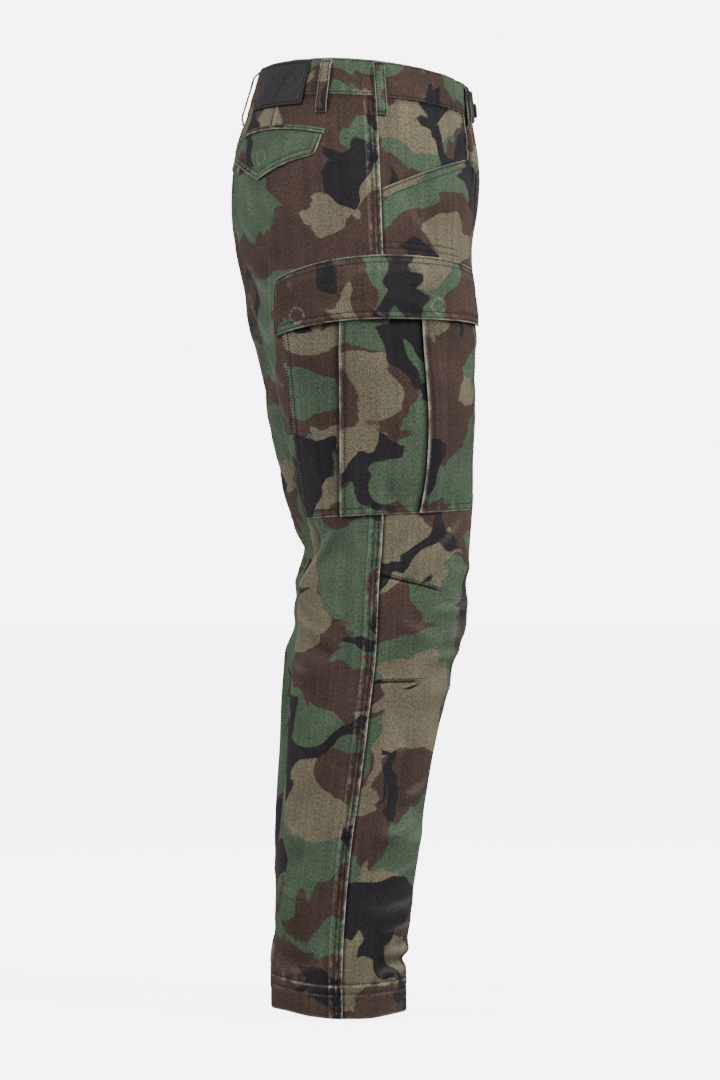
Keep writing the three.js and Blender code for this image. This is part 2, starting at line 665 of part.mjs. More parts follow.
// The fly's cover lies over the centre front seam and curves in at its foot.
function flyCover() {
  const levels = [WAIST_BOTTOM - 1, ...steps(-45, FLY_CURVE_TOP, 4), -165, -176, -185, FLY_BOTTOM];
  const grid = (height) =>
    levels.map((level) => {
      const t = clamp((FLY_CURVE_TOP - level) / (FLY_CURVE_TOP - FLY_BOTTOM), 0, 1);
      const width = 6 + (FLY_WIDTH - 6) * Math.sqrt(1 - t * t);
      const halfGirth = reach(level, "back") + reach(level, "front");
      return steps(1 - width / halfGirth, 1 + 3 / halfGirth, 5).map((around) =>
        roundWaist(level, around, height),
      );
    });
  return wall(grid(LAY_GAP + FLY_CLOTH), grid(LAY_GAP));
}

// A sewn button with a raised rim and a dished middle.
function waistButton() {
  const [r, t] = [BUTTON_RADIUS, BUTTON_THICKNESS];
  const profile = [
    [0, 0],
    [r - 1, 0],
    [r, t / 2],
    [r - 0.6, t],
    [r - 2.2, t],
    [r - 3, t - 0.9],
    [0, t - 0.9],
  ].map(([x, y]) => new THREE.Vector2(x, y));
  const geometry = mergeVertices(bare(new THREE.LatheGeometry(profile, 24)));
  return facingOut(geometry);
}

function bare(geometry) {
  geometry.deleteAttribute("normal");
  geometry.deleteAttribute("uv");
  return geometry;
}

const trousers = new THREE.Group();

function add(name, geometry, look) {
  const mesh = new THREE.Mesh(geometry, new THREE.MeshStandardMaterial(COLOURS[look]));
  mesh.name = name;
  trousers.add(mesh);
  return mesh;
}

function addPair(name, geometry, look) {
  add(`${name}_right`, mirrored(geometry), look);
  add(`${name}_left`, ahead(geometry), look);
}

addPair("front_panel", frontPanel(), "twill");
addPair("back_panel", backPanel(), "twill");
addPair("hand_pocket_facing", handFacing(), "twill");
addPair("thigh_pocket", thighPocket(), "twill");
addPair("thigh_flap", thighFlap(), "twill");
addPair("seat_welt", seatWelt(), "twill");
addPair("seat_flap", seatFlap(), "twill");
add("waistband", waistband(), "twill");
LOOP_PLACES.forEach((place, i) => addPair(`belt_loop_${i + 1}`, beltLoop(place), "twill"));
add("belt_loop_centre", centreLoop(), "twill");
add("fly_cover", flyCover(), "twill");
add("waist_patch", mirrored(leatherPatch()), "leather");

const button = add("waist_button", waistButton(), "button");
const buttonHeight = BAND_RISE + BAND_CLOTH + 3 * SEAM_GAP + 0.2;
const buttonSeat = roundWaist(0, 1, buttonHeight);
const overButton = roundWaist(BUTTON_RADIUS, 1, buttonHeight).sub(buttonSeat);
button.position.copy(buttonSeat).setX(0);
button.rotation.x = Math.PI - Math.atan2(overButton.y, overButton.z);

export default trousers;
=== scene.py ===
import math

import bmesh
import bpy
import numpy as np
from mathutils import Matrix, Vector


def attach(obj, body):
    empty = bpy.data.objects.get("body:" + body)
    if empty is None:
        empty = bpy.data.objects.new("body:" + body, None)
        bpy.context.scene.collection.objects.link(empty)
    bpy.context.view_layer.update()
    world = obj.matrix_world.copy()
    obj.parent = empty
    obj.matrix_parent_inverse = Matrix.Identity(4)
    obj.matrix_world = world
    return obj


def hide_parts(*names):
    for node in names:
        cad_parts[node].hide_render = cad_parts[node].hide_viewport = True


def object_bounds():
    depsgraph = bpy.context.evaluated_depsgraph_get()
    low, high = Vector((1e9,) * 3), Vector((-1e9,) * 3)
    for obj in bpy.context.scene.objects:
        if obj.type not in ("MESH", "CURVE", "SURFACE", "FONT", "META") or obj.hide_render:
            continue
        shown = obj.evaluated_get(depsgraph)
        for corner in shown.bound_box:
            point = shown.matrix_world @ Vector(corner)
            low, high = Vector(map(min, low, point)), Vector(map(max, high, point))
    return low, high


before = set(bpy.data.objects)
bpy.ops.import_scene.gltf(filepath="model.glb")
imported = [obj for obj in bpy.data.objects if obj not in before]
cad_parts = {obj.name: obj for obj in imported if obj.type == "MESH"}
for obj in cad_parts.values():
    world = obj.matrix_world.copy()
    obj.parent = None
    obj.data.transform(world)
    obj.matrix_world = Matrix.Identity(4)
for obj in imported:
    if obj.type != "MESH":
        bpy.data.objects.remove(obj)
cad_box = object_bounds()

# Front panels
# Two pieces of washed cotton twill, printed in woodland colours, that run from the waistband to
# the hem. Each has a curved corner cut away for the hand pocket and two small darts at the knee,
# and its lower end is turned up inside and sewn down as the hem.

MM = 0.001
TWILL = 1.2
# Edges stop this far short of the side and middle lines, so that no two faces lie in one place.
HIDDEN_GAP = 0.002
# Each half laps this far over the middle plane, so that no light shows through the centre seams.
MIDDLE_LAP = 0.15
WAIST_TOP = 25
WAIST_BOTTOM = -16
# The waist is highest at the crest's y and falls away with the distance squared. The fall fades
# out below the waist.
WAIST_CREST = 75
WAIST_FALL = 0.00068
WAIST_FADE = 150
CROTCH = -285
HEM_TURN = -993
HEM = -1030
# A second line is pressed into the hem this far below its row of stitches.
HEM_PRESS = 10
# The hem is lowest at this y and rises by these amounts to its back and its front.
HEM_LOWEST = 37
HEM_HALF = 74
HEM_RISES = (10.0, 5.0)
SIDES = ("right", "left")
FRONT, BACK = 0, 1

# Horizontal sections of one side of the garment, in millimetres from the waist down. outer and
# inner are the furthest and nearest points from the middle plane, seam is the side seam's y,
# front and back are depths from it, square is the roundness and cleft the hollow at the back.
SECTION_COLUMNS = ("level", "outer", "inner", "seam", "front", "back", "square", "cleft")
SECTIONS = [
    (26, 151, -151, 0, 117, 116, 2.2, 0),
    (-20, 160, -160, -1, 120, 131, 2.25, 0),
    (-60, 170, -170, -2, 123, 145, 2.35, 0),
    (-100, 179, -179, -3, 124, 153, 2.4, 3),
    (-140, 186, -186, -4, 121, 155, 2.4, 8),
    (-175, 190, -180, -5, 115, 151, 2.35, 9),
    (-205, 192, -115, -6, 111.5, 144, 2.25, 7),
    (-242, 193, -45, -6, 111.5, 136.5, 2.2, 3),
    (-270, 193, -10, -6, 111.5, 129, 2.2, 0),
    (-285, 192, 0.2, -6, 111, 124.5, 2.15, 0),
    (-307, 191, 3, -6, 110.5, 118.5, 2.15, 0),
    (-342, 190, 6, -6.5, 110, 111.5, 2.15, 0),
    (-400, 187, 12, -7, 107, 101, 2.1, 0),
    (-464, 183, 20, -7, 106, 84.5, 2.1, 0),
    (-515, 181, 27, -5, 104.5, 71.5, 2.1, 0),
    (-553, 180, 32, -2, 106, 80.5, 2.1, 0),
    (-605, 179, 37, 0, 103, 82, 2.1, 0),
    (-640, 178, 40, 2, 95.5, 85, 2.1, 0),
    (-700, 176, 45, 9, 87, 82.5, 2.1, 0),
    (-765, 174, 50, 17, 81, 78, 2.1, 0),
    (-845, 171, 54, 28, 81, 75, 2.1, 0),
    (-925, 169, 57, 35, 77.5, 71, 2.1, 0),
    (-980, 167, 59, 37.5, 76, 73, 2.1, 0),
    (-1034, 167, 59, 37, 75, 74, 2.1, 0),
]


def smoothstep(x):
    x = np.clip(x, 0.0, 1.0)
    return x * x * (3 - 2 * x)


def hump(distance, width):
    """1 at no distance, and falling smoothly to nothing some two widths away."""
    return np.exp(-((distance / width) ** 2))


def unit(vectors):
    return vectors / np.linalg.norm(vectors, axis=-1)[..., None]


def walked_along(points):
    """How far along their line each of the points is."""
    return np.concatenate([[0], np.linalg.norm(np.diff(points, axis=0), axis=1).cumsum()])


def grid(rows, columns):
    return np.meshgrid(rows, columns, indexing="ij")


def sections_at(levels):
    """Each column of the table at these levels, on a smooth curve through its rows."""
    rows = np.array(SECTIONS, float)
    down = -rows[:, 0]
    slopes = np.empty_like(rows)
    slopes[1:-1] = (rows[2:] - rows[:-2]) / (down[2:] - down[:-2])[:, None]
    slopes[0] = (rows[1] - rows[0]) / (down[1] - down[0])
    slopes[-1] = (rows[-1] - rows[-2]) / (down[-1] - down[-2])
    at = np.clip(-levels, down[0], down[-1])
    i = np.clip(np.searchsorted(down, at) - 1, 0, len(rows) - 2)
    span = (down[i + 1] - down[i])[:, None]
    t = ((at - down[i]) / span[:, 0])[:, None]
    values = (
        rows[i] * (2 * t**3 - 3 * t**2 + 1)
        + slopes[i] * span * (t**3 - 2 * t**2 + t)
        + rows[i + 1] * (3 * t**2 - 2 * t**3)
        + slopes[i + 1] * span * (t**3 - t**2)
    )
    return dict(zip(SECTION_COLUMNS, values.T))


# The sections worked out once: each half's points from the side seam to the middle, evenly
# spaced, and how long the half is.
LEVEL_STEP = 2.0
SHARES = 200
ANGLES = 400
CLEFT_HALF_WIDTH = 26
ring_levels = np.arange(28.0, -1040.0, -LEVEL_STEP)
ring_x = np.empty((2, len(ring_levels), SHARES + 1))
ring_y = np.empty_like(ring_x)
ring_reach = np.empty((2, len(ring_levels)))
cut = sections_at(ring_levels)
ring_centre = np.maximum((cut["outer"] + cut["inner"]) / 2, 0)
ring_half = cut["outer"] - ring_centre
first_angle = np.arccos(np.minimum(ring_centre / ring_half, 1) ** (cut["square"] / 2))
power = (2 / cut["square"])[:, None]
for facing, way in enumerate((-1, 1)):
    angle = math.pi - (math.pi - first_angle)[:, None] * np.linspace(0, 1, ANGLES)
    c = np.cos(angle)
    depth = (cut["front"] if way < 0 else cut["back"])[:, None]
    x = ring_centre[:, None] - ring_half[:, None] * np.sign(c) * np.abs(c) ** power
    hollow = cut["cleft"][:, None] * hump(x, CLEFT_HALF_WIDTH) * (way > 0)
    y = cut["seam"][:, None] + way * depth * np.abs(np.sin(angle)) ** power - hollow
    walked = np.hypot(np.diff(x), np.diff(y)).cumsum(axis=1)
    walked = np.hstack([np.zeros((len(x), 1)), walked])
    for i, s in enumerate(walked):
        even = np.linspace(0, s[-1], SHARES + 1)
        ring_x[facing, i] = np.interp(even, s, x[i])
        ring_y[facing, i] = np.interp(even, s, y[i])
        ring_reach[facing, i] = s[-1]


def reach(level, facing):
    """How far it is round the section from the side seam to its front or back middle."""
    row = np.clip((ring_levels[0] - level) / LEVEL_STEP, 0, len(ring_levels) - 1.001)
    i = row.astype(int)
    t = row - i
    return ring_reach[facing, i] * (1 - t) + ring_reach[facing, i + 1] * t


def tilt(y, level):
    """How much higher than its level a point lies, near the waist and near the hem."""
    fading = np.maximum((level + WAIST_FADE) / (WAIST_FADE + WAIST_TOP), 0) ** 1.2
    waist = -WAIST_FALL * (y - WAIST_CREST) ** 2 * fading
    hem = np.where(y > HEM_LOWEST, *HEM_RISES) * ((y - HEM_LOWEST) / HEM_HALF) ** 2
    return waist + hem * smoothstep((HEM_TURN + 60 - level) / 60)


def skin(level, share, facing):
    """Points of the left side's outer face, at a level and a share of the way round one half."""
    row = np.clip((ring_levels[0] - level) / LEVEL_STEP, 0, len(ring_levels) - 1.001)
    i = row.astype(int)
    t = row - i
    place = np.clip(share, 0, 1) * (SHARES - 0.001)
    j = place.astype(int)
    u = place - j

    def between(table):
        upper = table[facing, i, j] * (1 - u) + table[facing, i, j + 1] * u
        lower = table[facing, i + 1, j] * (1 - u) + table[facing, i + 1, j + 1] * u
        return upper * (1 - t) + lower * t

    y = between(ring_y)
    return np.stack([between(ring_x) - MIDDLE_LAP, y, level + tilt(y, level)], -1)


# The large folds and the smaller creases of one leg, as soft ridges and, where the rise is below
# zero, troughs. Each runs from a level and a distance from the side seam to another.
FOLDS = [
    # level, across, to level, to across, width, rise
    (-504, -90, -536, -134, 14, -15),
    (-498, -60, -552, -108, 8, 3.5),
    (-575, -120, -590, -60, 16, 2.5),
    (-612, -112, -628, -48, 12, -2.5),
    (-560, 84, -552, 150, 12, -3.5),
    (-650, 62, -643, 128, 13, -4),
    (-604, 40, -600, 140, 22, 3),
    (-742, 84, -758, 20, 14, -2.5),
    (-805, 100, -790, 36, 12, -3),
    (-832, 104, -826, 30, 13, 3),
    (-866, -106, -850, -40, 15, -2.5),
    (-905, 96, -912, 22, 15, 2.5),
    (-974, 118, -969, 50, 6, -6),
    (-961, 118, -958, 60, 7, 2),
    (-958, -108, -968, -36, 15, -4),
    (-215, -215, -262, -150, 15, -4),
    (-300, -205, -352, -150, 16, -3.5),
    (-392, -176, -430, -132, 14, -3),
    (-262, 190, -228, 150, 13, -3.5),
]
CREASES = [
    # level, across, to level, to across, width, rise
    # hip and seat
    (-128, 18, -186, 64, 9, 0.9),
    (-132, -26, -192, -44, 11, -1.0),
    (-146, -92, -196, -58, 9, 0.8),
    (-118, -176, -170, -120, 10, -1.2),
    (-150, -206, -206, -128, 8, 1.4),
    (-182, -224, -232, -146, 9, 1.5),
    (-236, -232, -282, -158, 8, 1.8),
    (-268, -206, -330, -140, 7, 1.6),
    (-318, -184, -372, -128, 7, 1.5),
    (-360, -170, -404, -124, 6, -1.4),
    (-420, -158, -462, -118, 7, 1.5),
    (-452, -150, -486, -114, 6, -1.3),
    (-36, -52, -96, -40, 6, 0.6),
    (-36, 30, -90, 34, 6, -0.6),
    # crotch, in front
    (-236, 214, -206, 150, 8, 1.6),
    (-252, 210, -244, 148, 7, -1.6),
    (-276, 206, -288, 140, 8, 1.8),
    (-304, 200, -332, 142, 8, -1.6),
    (-340, 186, -400, 142, 9, 1.4),
    (-60, 176, -150, 168, 7, 0.8),
    (-46, 158, -120, 150, 5, 0.7),
    (-18, 142, -84, 146, 3.2, -2.4),
    (-18, 150, -100, 152, 3.2, 2.2),
    (-18, 159, -120, 160, 3.5, -2.4),
    (-18, 168, -130, 170, 3.5, 1.8),
    (-24, 176, -150, 184, 5, 1.6),
    (-24, 189, -170, 197, 5, -1.6),
    (-24, 202, -140, 206, 5, 1.4),
    # under the thigh pocket
    (-486, 96, -520, 60, 7, 1.0),
    (-488, 30, -532, 6, 8, -0.9),
    (-490, -28, -540, -16, 8, 0.9),
    # knee
    (-540, 92, -536, 152, 7, 1.5),
    (-556, 40, -572, 96, 6, -1.1),
    (-580, 66, -574, 142, 7, 1.6),
    (-592, 18, -612, 74, 9, 0.9),
    (-622, 84, -616, 150, 7, -1.5),
    (-634, 60, -630, 138, 6, 1.3),
    (-664, 30, -656, 86, 6, -1.1),
    (-672, 78, -666, 130, 7, 1.2),
    (-548, -132, -566, -70, 7, 1.9),
    (-560, -140, -584, -84, 6, -1.6),
    (-588, -124, -606, -58, 7, 1.3),
    (-606, -90, -640, -30, 8, -0.9),
    (-640, -118, -660, -56, 8, 1.1),
    (-578, -46, -620, -20, 7, 0.8),
    # calf
    (-690, 18, -760, 58, 9, 0.9),
    (-700, 100, -742, 48, 8, -1.0),
    (-722, -96, -770, -40, 10, 0.9),
    (-768, 96, -800, 30, 8, 1.1),
    (-780, -30, -850, -62, 10, -0.9),
    (-812, -100, -838, -44, 8, 1.1),
    (-818, 90, -846, 26, 8, -1.1),
    (-858, 96, -880, 30, 7, 1.2),
    (-884, -96, -900, -36, 8, 1.1),
    (-890, 100, -898, 52, 6, -1.2),
    (-926, 100, -936, 44, 6, 1.4),
    (-930, -90, -946, -30, 7, -1.0),
    (-944, 104, -950, 66, 5, -1.6),
    # hem
    (-976, 96, -984, 40, 6, 1.4),
    (-972, -20, -986, -66, 6, 1.0),
    (-1004, 90, -1014, 56, 8, 1.0),
    (-1000, -84, -1018, -52, 9, 1.1),
    (-1002, 20, -1026, 8, 9, -0.8),
]


def ridges(level, across, table):
    """The summed height of a table's ridges and troughs."""
    rise = np.zeros(np.broadcast(level, across).shape)
    for at_level, at_across, to_level, to_across, width, height in table:
        u = to_across - at_across
        v = to_level - at_level
        t = ((across - at_across) * u + (level - at_level) * v) / (u * u + v * v)
        t = np.clip(t, -0.2, 1.2)
        away = np.hypot(across - at_across - t * u, level - at_level - t * v) / width
        rise += height * np.cos((t - 0.5) / 1.4 * math.pi) * np.exp(-away * away)
    return rise


CELLS = 64


def unevenness(u, v, cell, seed):
    """Smooth random heights from -1 to 1, with bumps about a cell wide."""
    heights = np.random.default_rng(seed).uniform(-1, 1, (CELLS, CELLS))
    u = np.asarray(u, float) / cell + 1000
    v = np.asarray(v, float) / cell + 1000
    i = np.floor(u).astype(int)
    j = np.floor(v).astype(int)
    s = smoothstep(u - i)
    t = smoothstep(v - j)
    i %= CELLS - 1
    j %= CELLS - 1
    upper = heights[i, j] * (1 - s) + heights[i + 1, j] * s
    lower = heights[i, j + 1] * (1 - s) + heights[i + 1, j + 1] * s
    return upper * (1 - t) + lower * t


def lifted(level, across, height):
    """Points at a level and a distance from the side seam, standing height off the skin."""
    level, across, height = np.broadcast_arrays(level, across, height)
    level = level.astype(float)
    facing = (across < 0).astype(int)
    share = np.abs(across) / reach(level, facing)
    low = np.clip(share - 0.01, 0, 1)
    high = np.clip(share + 0.01, 0, 1)
    along = skin(level, high, facing) - skin(level, low, facing)
    down = skin(level - 1.5, share, facing) - skin(level + 1.5, share, facing)
    normal = np.cross(along, down) * np.where(facing, -1, 1)[..., None]
    at_middle = smoothstep((level - CROTCH) / 4) * (1 - smoothstep((1 - share) / 0.02))
    normal[..., 0] *= 1 - at_middle
    relief = ridges(level, across, FOLDS) + ridges(level, across, CREASES)
    relief = relief + 0.35 * unevenness(across, level, 23, 5)
    return skin(level, share, facing) + unit(normal) * (height + relief)[..., None]


# How far the left leg hangs ahead of the right one, down its length.
STRIDE_LEVELS = [-1034, -920, -850, -760, -635, -600, -560, -490, -370, -300]
STRIDE_AHEAD = [11, 11, 7, 3.5, 2.5, 9, 9, -4, -4, 0]


def placed(points, side):
    """The points where the left or right side of the garment has them."""
    points = points.copy()
    if side == "right":
        points[..., 0] *= -1
    if side == "left":
        z = points[..., 2]
        i = np.clip(np.searchsorted(STRIDE_LEVELS, z) - 1, 0, len(STRIDE_LEVELS) - 2)
        levels = np.array(STRIDE_LEVELS, float)
        ahead = np.array(STRIDE_AHEAD, float)
        t = smoothstep((z - levels[i]) / (levels[i + 1] - levels[i]))
        points[..., 1] -= ahead[i] + (ahead[i + 1] - ahead[i]) * t
    return points


def faces(level, across, height, thickness, on=lifted):
    """The outer and inner faces of a piece of cloth, as two grids of points."""
    return on(level, across, height), on(level, across, height - thickness)


def crests(outer, inner):
    """How far each point stands out from those about it: below zero in a hollow."""
    padded = np.pad(outer, ((2, 2), (2, 2), (0, 0)), "edge")
    about = padded[:-4, 2:-2] + padded[4:, 2:-2] + padded[2:-2, :-4] + padded[2:-2, 4:]
    crest = ((outer - about / 4) * unit(outer - inner)).sum(-1)
    crest[[0, 1, -2, -1]] = 0.1
    crest[:, [0, 1, -2, -1]] = 0.1
    return crest


# Each piece is cut one step further along the bolt than the piece before it, in metres.
BOLT_START = 17.0
BOLT_STEP = (0.71, 0.57)
SHARP_ANGLE = math.radians(55)
bolt_place = 0


def in_place(name, mesh):
    piece = bpy.data.objects.new(name, mesh)
    bpy.context.collection.objects.link(piece)
    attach(piece, "root")
    return piece


def cloth_piece(name, outer, inner, spot, wear_and_shade, side, node, material):
    """A closed piece of cloth between two grids of points, with its place on the printed bolt."""
    global bolt_place
    bolt_place += 1
    crest = crests(outer, inner)
    # On the cloth, crests get pale wear and hollows get painted shade; on the leather, crests get a
    # painted highlight.
    wear_and_shade = wear_and_shade + np.clip(0.6 * (crest - 0.2), 0, 0.25) + np.clip(0.9 * (crest + 0.02), -0.6, 0)
    rows, columns = outer.shape[:2]
    count = rows * columns
    points = np.concatenate([placed(face, side).reshape(-1, 3) for face in (outer, inner)])
    at = np.arange(count).reshape(rows, columns)
    quads = np.stack([at[:-1, :-1], at[1:, :-1], at[1:, 1:], at[:-1, 1:]], -1).reshape(-1, 4)
    rim = np.concatenate([at[0, :-1], at[:-1, -1], at[-1, :0:-1], at[:0:-1, 0]])
    after = np.roll(rim, -1)
    edge = np.stack([rim, after, after + count, rim + count], -1)
    corner_lists = np.concatenate([quads, quads[:, ::-1] + count, edge])
    corners = points[corner_lists]
    spans = np.cross(corners[:, 1] - corners[:, 0], corners[:, 2] - corners[:, 0])
    spans += np.cross(corners[:, 2] - corners[:, 0], corners[:, 3] - corners[:, 0])
    if (spans * corners.mean(axis=1)).sum() < 0:
        corner_lists = corner_lists[:, ::-1]
    mesh = bpy.data.meshes.new(name)
    mesh.from_pydata((points * MM).tolist(), [], corner_lists.tolist())
    uv = mesh.uv_layers.new(name="cloth")
    bolt = BOLT_START + np.array(BOLT_STEP) * bolt_place
    spots = np.concatenate([spot.reshape(-1, 2)] * 2) * MM + bolt
    uv.data.foreach_set("uv", spots[corner_lists.reshape(-1)].astype(np.float32).reshape(-1))
    # The wear-and-shade values, a quarter as strong on the inner face: above zero pale wear (a painted
    # highlight on the leather), below zero painted shade.
    wear_and_shade_twice = np.concatenate([wear_and_shade.reshape(-1), 0.25 * wear_and_shade.reshape(-1)])
    for label, values in (("wear_and_shade", wear_and_shade_twice), ("reverse", np.repeat([0.0, 1.0], count))):
        attribute = mesh.attributes.new(label, "FLOAT", "POINT")
        attribute.data.foreach_set("value", values.astype(np.float32))
    mesh.materials.append(material)
    mesh.shade_smooth()
    mesh.set_sharp_from_angle(angle=SHARP_ANGLE)
    piece = in_place(name, mesh)
    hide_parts(node)
    return piece


def new_material(name):
    material = bpy.data.materials.new(name)
    material.use_nodes = True
    return material, material.node_tree


def feed(tree, socket, value):
    """Links the socket to a value that is a socket itself, and sets it to any other."""
    if isinstance(value, bpy.types.NodeSocket):
        tree.links.new(value, socket)
    else:
        socket.default_value = value


def add_node(tree, kind, settings=None, **inputs):
    """A shader node. Its inputs are named, or in0, in1 and so on, with _ for a space."""
    new = tree.nodes.new(kind)
    for key, value in (settings or {}).items():
        setattr(new, key, value)
    for key, value in inputs.items():
        feed(tree, new.inputs[int(key[2:]) if key.startswith("in") else key.replace("_", " ")], value)
    return new


def math_node(tree, operation, *values, kind="ShaderNodeMath"):
    inputs = {f"in{i}": value for i, value in enumerate(values)}
    return add_node(tree, kind, {"operation": operation}, **inputs).outputs[0]


def vector_node(tree, operation, *values):
    return math_node(tree, operation, *values, kind="ShaderNodeVectorMath")


def times_plus(tree, value, times, plus):
    return math_node(tree, "MULTIPLY_ADD", value, times, plus)


def mixed(tree, share, first, second):
    colours = {"in0": share, "in6": first, "in7": second}
    return add_node(tree, "ShaderNodeMix", {"data_type": "RGBA"}, **colours).outputs[2]


def noise(tree, vector, scale, detail=2.0, roughness=0.5, output=0):
    inputs = {"Vector": vector, "Scale": scale, "Detail": detail, "Roughness": roughness}
    return add_node(tree, "ShaderNodeTexNoise", **inputs).outputs[output]


def ranged(tree, value, start, end, low=0.0, high=1.0):
    """The value's place from start to end, as a place from low to high."""
    inputs = {"From_Min": start, "From_Max": end, "To_Min": low, "To_Max": high}
    return add_node(tree, "ShaderNodeMapRange", {"clamp": True}, Value=value, **inputs).outputs[0]


def above(tree, value, edge, soft=0.004):
    """1 where the value is above the edge, with a narrow step between."""
    return ranged(tree, value, edge - soft, edge + soft)


def point_values(tree, label):
    return add_node(tree, "ShaderNodeAttribute", {"attribute_name": label}).outputs["Fac"]


def surfaced(tree, colour, roughness, relief, strength, depth, **others):
    """Gives the material its colour, its roughness and a fine relief."""
    bump = add_node(tree, "ShaderNodeBump", Strength=strength, Distance=depth, Height=relief)
    inputs = {"Base_Color": colour, "Roughness": roughness, "Normal": bump.outputs[0], **others}
    for key, value in inputs.items():
        feed(tree, tree.nodes["Principled BSDF"].inputs[key.replace("_", " ")], value)


GREEN = (0.079, 0.115, 0.073, 1)
BROWN = (0.072, 0.046, 0.037, 1)
TAN = (0.168, 0.145, 0.098, 1)
BLACK = (0.025, 0.022, 0.025, 1)
WORN_PALE = (0.52, 0.48, 0.41, 1)
REVERSE_PALE = (0.20, 0.185, 0.14, 1)


def woodland(tree, uv):
    """The printed colours: green and brown patches, tan ones over them, and black branches."""

    def shifted(vector, amount, scale, detail, offset):
        moved = vector_node(tree, "ADD", vector, (offset, offset * 0.7, offset * 1.3))
        colour = noise(tree, moved, scale, detail, output="Color")
        centred = vector_node(tree, "SUBTRACT", colour, (0.5, 0.5, 0.5))
        push = vector_node(tree, "MULTIPLY", centred, (amount, amount, 0))
        return vector_node(tree, "ADD", vector, push)

    def patches(vector, offset, scale, detail):
        return noise(tree, vector_node(tree, "ADD", vector, offset), scale, detail)

    def branch(offset, stretch):
        place = vector_node(tree, "MULTIPLY", crooked, stretch)
        ridge = math_node(tree, "SUBTRACT", patches(place, offset, 9.5, 0.3), 0.5)
        return math_node(tree, "ABSOLUTE", ridge)

    wandering = shifted(uv, 0.11, 13, 1.0, 3.1)
    lobed = shifted(wandering, 0.034, 42, 1.0, 7.7)
    wide = vector_node(tree, "MULTIPLY", lobed, (0.8, 1.2, 1))
    brown = above(tree, noise(tree, wide, 10.0, 0.4), 0.5)
    tan = above(tree, patches(wide, (11.3, 4.1, 2.2), 12.5, 0.5), 0.596)
    crooked = shifted(uv, 0.06, 20, 0.6, 1.7)
    crooked = shifted(crooked, 0.016, 55, 0.6, 4.4)
    first = branch((5.7, 21.3, 6.1), (1.2, 0.7, 1))
    second = math_node(tree, "MULTIPLY", branch((8.1, 2.9, 3.3), (0.8, 1.2, 1)), 1.4)
    ridge = math_node(tree, "SMOOTH_MIN", first, second, 0.03)
    width = ranged(tree, patches(crooked, (1.9, 9.4, 14.1), 10.5, 0.4), 0.47, 0.60, -0.07, 0.066)
    black = above(tree, math_node(tree, "SUBTRACT", width, ridge), 0.0)
    printed = mixed(tree, brown, GREEN, BROWN)
    printed = mixed(tree, tan, printed, TAN)
    return mixed(tree, black, printed, BLACK)


def printed_twill(name):
    """Woodland print on twill, faded in the wash, pale with wear and on its reverse, with painted shade.
    """
    material, tree = new_material(name)
    uv = add_node(tree, "ShaderNodeUVMap", {"uv_map": "cloth"}).outputs[0]
    streaks = vector_node(tree, "MULTIPLY", uv, (1, 0.5, 1))
    long_streaks = vector_node(tree, "MULTIPLY", uv, (1, 0.03, 1))
    heather = noise(tree, streaks, 700, 2.0, 0.8)
    runs = noise(tree, long_streaks, 150, 3.0, 0.7)
    fade = noise(tree, uv, 16, 4.0, 0.6)
    wear_and_shade = point_values(tree, "wear_and_shade")
    # Painted shade: values below zero darken the print in hollows, in gaps and beside raised edges.
    painted_shade = times_plus(tree, math_node(tree, "MINIMUM", wear_and_shade, 0.0), 0.8, 1.0)
    rubbed = math_node(tree, "MAXIMUM", wear_and_shade, 0.0)
    lightness = times_plus(tree, heather, 2.8, -0.37)
    for factor in (
        times_plus(tree, rubbed, 0.5, 1.0),
        times_plus(tree, runs, 0.9, 0.55),
        times_plus(tree, fade, 1.1, 0.48),
        math_node(tree, "MAXIMUM", painted_shade, 0.2),
    ):
        lightness = math_node(tree, "MULTIPLY", lightness, factor)
    washed = vector_node(tree, "MULTIPLY", woodland(tree, uv), lightness)
    speckle = times_plus(tree, heather, 2.0, -0.2)
    bare = math_node(tree, "MULTIPLY", math_node(tree, "POWER", rubbed, 1.6), speckle)
    bare = math_node(tree, "MINIMUM", math_node(tree, "MAXIMUM", bare, 0.0), 0.85)
    washed = mixed(tree, bare, washed, WORN_PALE)
    paler = mixed(tree, 0.55, washed, REVERSE_PALE)
    coloured = mixed(tree, point_values(tree, "reverse"), washed, paler)
    ribs = add_node(
        tree,
        "ShaderNodeTexWave",
        {"wave_type": "BANDS", "bands_direction": "DIAGONAL"},
        Vector=uv,
        Scale=300,
        Distortion=1.2,
        Detail=1.0,
    ).outputs["Fac"]
    weave = times_plus(tree, noise(tree, streaks, 900, 2.0), 0.8, ribs)
    rough = times_plus(tree, heather, 0.15, 0.82)
    sheen = {"Specular_IOR_Level": 0.1, "Sheen_Weight": 0.04, "Sheen_Roughness": 0.6}
    surfaced(tree, coloured, rough, weave, 0.5, 0.0003, **sheen)
    return material


def sewing_thread(name, colour):
    """Spun polyester thread, a little uneven in colour along its length."""
    material, tree = new_material(name)
    where = add_node(tree, "ShaderNodeTexCoord").outputs["Object"]
    darker, lighter = (tuple(share * c for c in colour) + (1,) for share in (0.55, 1.5))
    mottled = mixed(tree, noise(tree, where, 160, 2.0), darker, lighter)
    surfaced(tree, mottled, 0.75, noise(tree, where, 2600, 1.0), 0.5, 0.0001)
    return material


twill = printed_twill("printed_twill")
dark_thread = sewing_thread("dark_thread", (0.013, 0.011, 0.010))

# A stitch is a thread of four corners at each station: the place along it, its half width and
# how high it stands. Both of its ends dip into the cloth.
STITCH_PITCH = 3.3
STITCH_STATIONS = ((-1.15, 0.2, -0.05), (-0.7, 0.48, 0.25), (0.7, 0.48, 0.25), (1.15, 0.2, -0.05))
THREAD_HALF = 0.08


def seam_row(level, across, height, on=lifted):
    """A line on the cloth for stitches: its points and the way out of the cloth at each."""
    on_cloth = on(level, across, height)
    return on_cloth, on(level, across, height + 1) - on_cloth


def sewn_row(level, across, height_of, lift=0.15, on=lifted):
    return seam_row(level, across, height_of(level, across) + lift, on)


